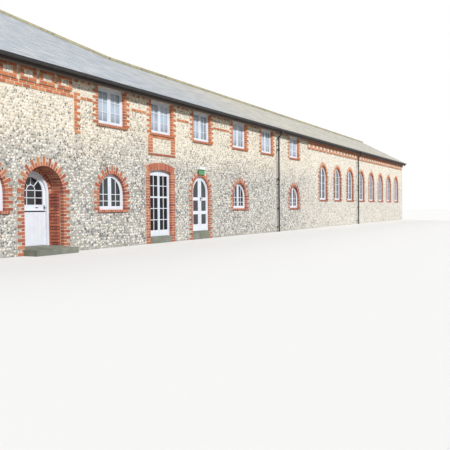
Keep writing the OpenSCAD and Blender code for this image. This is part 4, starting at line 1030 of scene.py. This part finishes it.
# Door furniture: lever handles on long plates, the stable door's letter slot and
# a dark strip between its leaves as painted shadow in their gap, in blacked iron
# worn bright in spots.
iron, shader, place = new_finish("iron")
wear = place.noise(60.0, 4.0)
coat(shader, blend(wear.between(0.45, 0.7), (36, 34, 33), (70, 64, 60)), 0.4 + wear * 0.25, wear, 0.0006)
shader.inputs["Metallic"].default_value = 0.75
for body, x, z, face, lever in (("door4_right", DOOR4_X + 0.036, 1.29, 0.035, 0.085),
                                ("door1_upper", DOOR1_X + 0.395, 1.02, 0.405, 0.0085)):
    plate = (FRONT, x - 0.014, z - 0.07, x + 0.014, z + 0.07, face - 0.005, 0.006)
    spindle = (FRONT, x - BAR, z + 0.02 - BAR, x + BAR, z + 0.02 + BAR, face - 0.038, 0.034)
    grip = (FRONT, x - 0.008, z + 0.012, x + lever, z + 0.028, face - 0.04, 0.01)
    bars(f"{body}_handle", [plate, spindle, grip], iron, body)
bars("door1_gap_shadow", [(FRONT, DOOR1_X - 0.425, 0.937, DOOR1_X + 0.425, 0.953, 0.3965, 0.01)],
     iron, "door1_lower")
bars("door1_letter_slot", [(FRONT, 2.96, 1.028, 3.05, 1.046, 0.400, 0.006)],
     iron, "door1_upper")

# Stone: a worn step and sills of grey sandstone, and worn flagstones inside on
# the ground floor; the upper floor is of boards nailed across its joists.
step_stone, shader, place = new_finish("step_stone")
speck = place.noise(80.0, 3.0)
worn = place.noise(3.0, 4.0)
colour = worn.ramp((0.3, 106, 109, 98), (0.55, 128, 131, 119), (0.75, 150, 151, 138))
colour = blend(speck.between(0.55, 0.7) * 0.5, colour, (96, 98, 90))
coat(shader, colour, 0.9, speck * 0.4 + worn * 0.6, 0.004)
dress(step_stone, "door_sills", "door1_step")


def rows_of(place, shift, long, high, joint, *colours):
    """Flags or boards laid in rows, of two tones and a joint's colour."""
    values = {"Vector": place, "Scale": 1.0, "Brick Width": long, "Row Height": high, "Mortar Size": joint}
    values.update(zip(("Color1", "Color2", "Mortar"), map(srgb, colours)))
    return place.node("ShaderNodeTexBrick", {"offset": shift}, values)


floor_stone, shader, place = new_finish("floor_stone")
flags = rows_of(place, 0.5, 0.75, 0.55, 0.012, (164, 156, 140), (142, 136, 122), (92, 88, 80))
coat(shader, blend(place.noise(6.0, 4.0) * 0.4, flags, (120, 112, 98)), 0.75, place.noise(20.0, 4.0), 0.003)
dress(floor_stone, "ground_floor")

timber, shader, place = new_finish("timber")
grain = place.stretched(1.0, 12.0, 12.0).noise(5.0, 5.0, 0.6)
planks = rows_of(place, 0.37, 2.4, 0.18, 0.004, (150, 118, 84), (128, 98, 68), (46, 34, 24))
coat(shader, blend(grain * 0.5, planks, (104, 78, 54)), 0.7, grain, 0.002)
dress(timber, "upper_floor", "floor_edge_beam")

# Over the round-arched doors: a small opal lamp on a plain green plate.
lamp_shell, shader, place = new_finish("lamp_shell")
is_plate = place.axis("Z") < 2.2302
fade = place.noise(12.0, 3.0)
colour = blend(is_plate, (232, 236, 236), (70, 150, 96))
colour = blend(fade.between(0.45, 0.75) * 0.25, colour, (170, 176, 166))
coat(shader, colour, 0.35 + fade * 0.2, fade, 0.0008)
dress(lamp_shell, "exit_lamp")
bars("lamp_ribs", [(FRONT, DOOR4_X - 0.182, low, DOOR4_X + 0.182, high, -0.092, 0.09)
                   for low, high in ((2.2305, 2.241), (2.312, 2.322))], lamp_shell)

# The building is shown on a plain pale floor under a soft sun and a weak lamp
# from behind. The floor looks paler than the light that it gives back.
bpy.ops.object.select_all(action="DESELECT")
bpy.ops.mesh.primitive_plane_add(size=300, location=(0, 0, -0.002))
yard = as_modelled("yard")
yard_finish, shader, place = new_finish("yard_finish")
ray = place.node("ShaderNodeLightPath", {}, {})
shown = ray.sum("MAXIMUM", Tone(ray.tree, ray.socket.node.outputs["Is Glossy Ray"]))
coat(shader, blend(shown, (157.60, 157.60, 155.48), (236.15, 236.15, 234.90)), 0.9)
yard.data.materials.append(yard_finish)

for name, energy, spread, towards in (("sun", 3.4, 5, (-0.35, -0.72, 0.54)),
                                      ("fill", 1.0, 60, (0.45, 0.72, 0.50))):
    lamp = bpy.data.lights.new(name, "SUN")
    lamp.energy = energy
    lamp.angle = math.radians(spread)
    lamp_at = bpy.data.objects.new(name, lamp)
    lamp_at.rotation_euler = Vector(towards).to_track_quat("Z", "Y").to_euler()
    bpy.context.scene.collection.objects.link(lamp_at)

world = bpy.data.worlds.new("studio")
bpy.context.scene.world = world
world.use_nodes = True
tree = world.node_tree
ray = tree.nodes.new("ShaderNodeLightPath")
seen = Tone(tree, ray.outputs["Is Camera Ray"])
for kind in ("Is Glossy Ray", "Is Transmission Ray"):
    seen = seen.sum("MAXIMUM", Tone(tree, ray.outputs[kind]))
lit = tree.nodes["Background"]
lit.inputs["Color"].default_value = (1, 1, 1, 1)
tree.links.new((seen * 0.66 + 0.34).socket, lit.inputs["Strength"])
bpy.context.scene.view_settings.view_transform = "Standard"
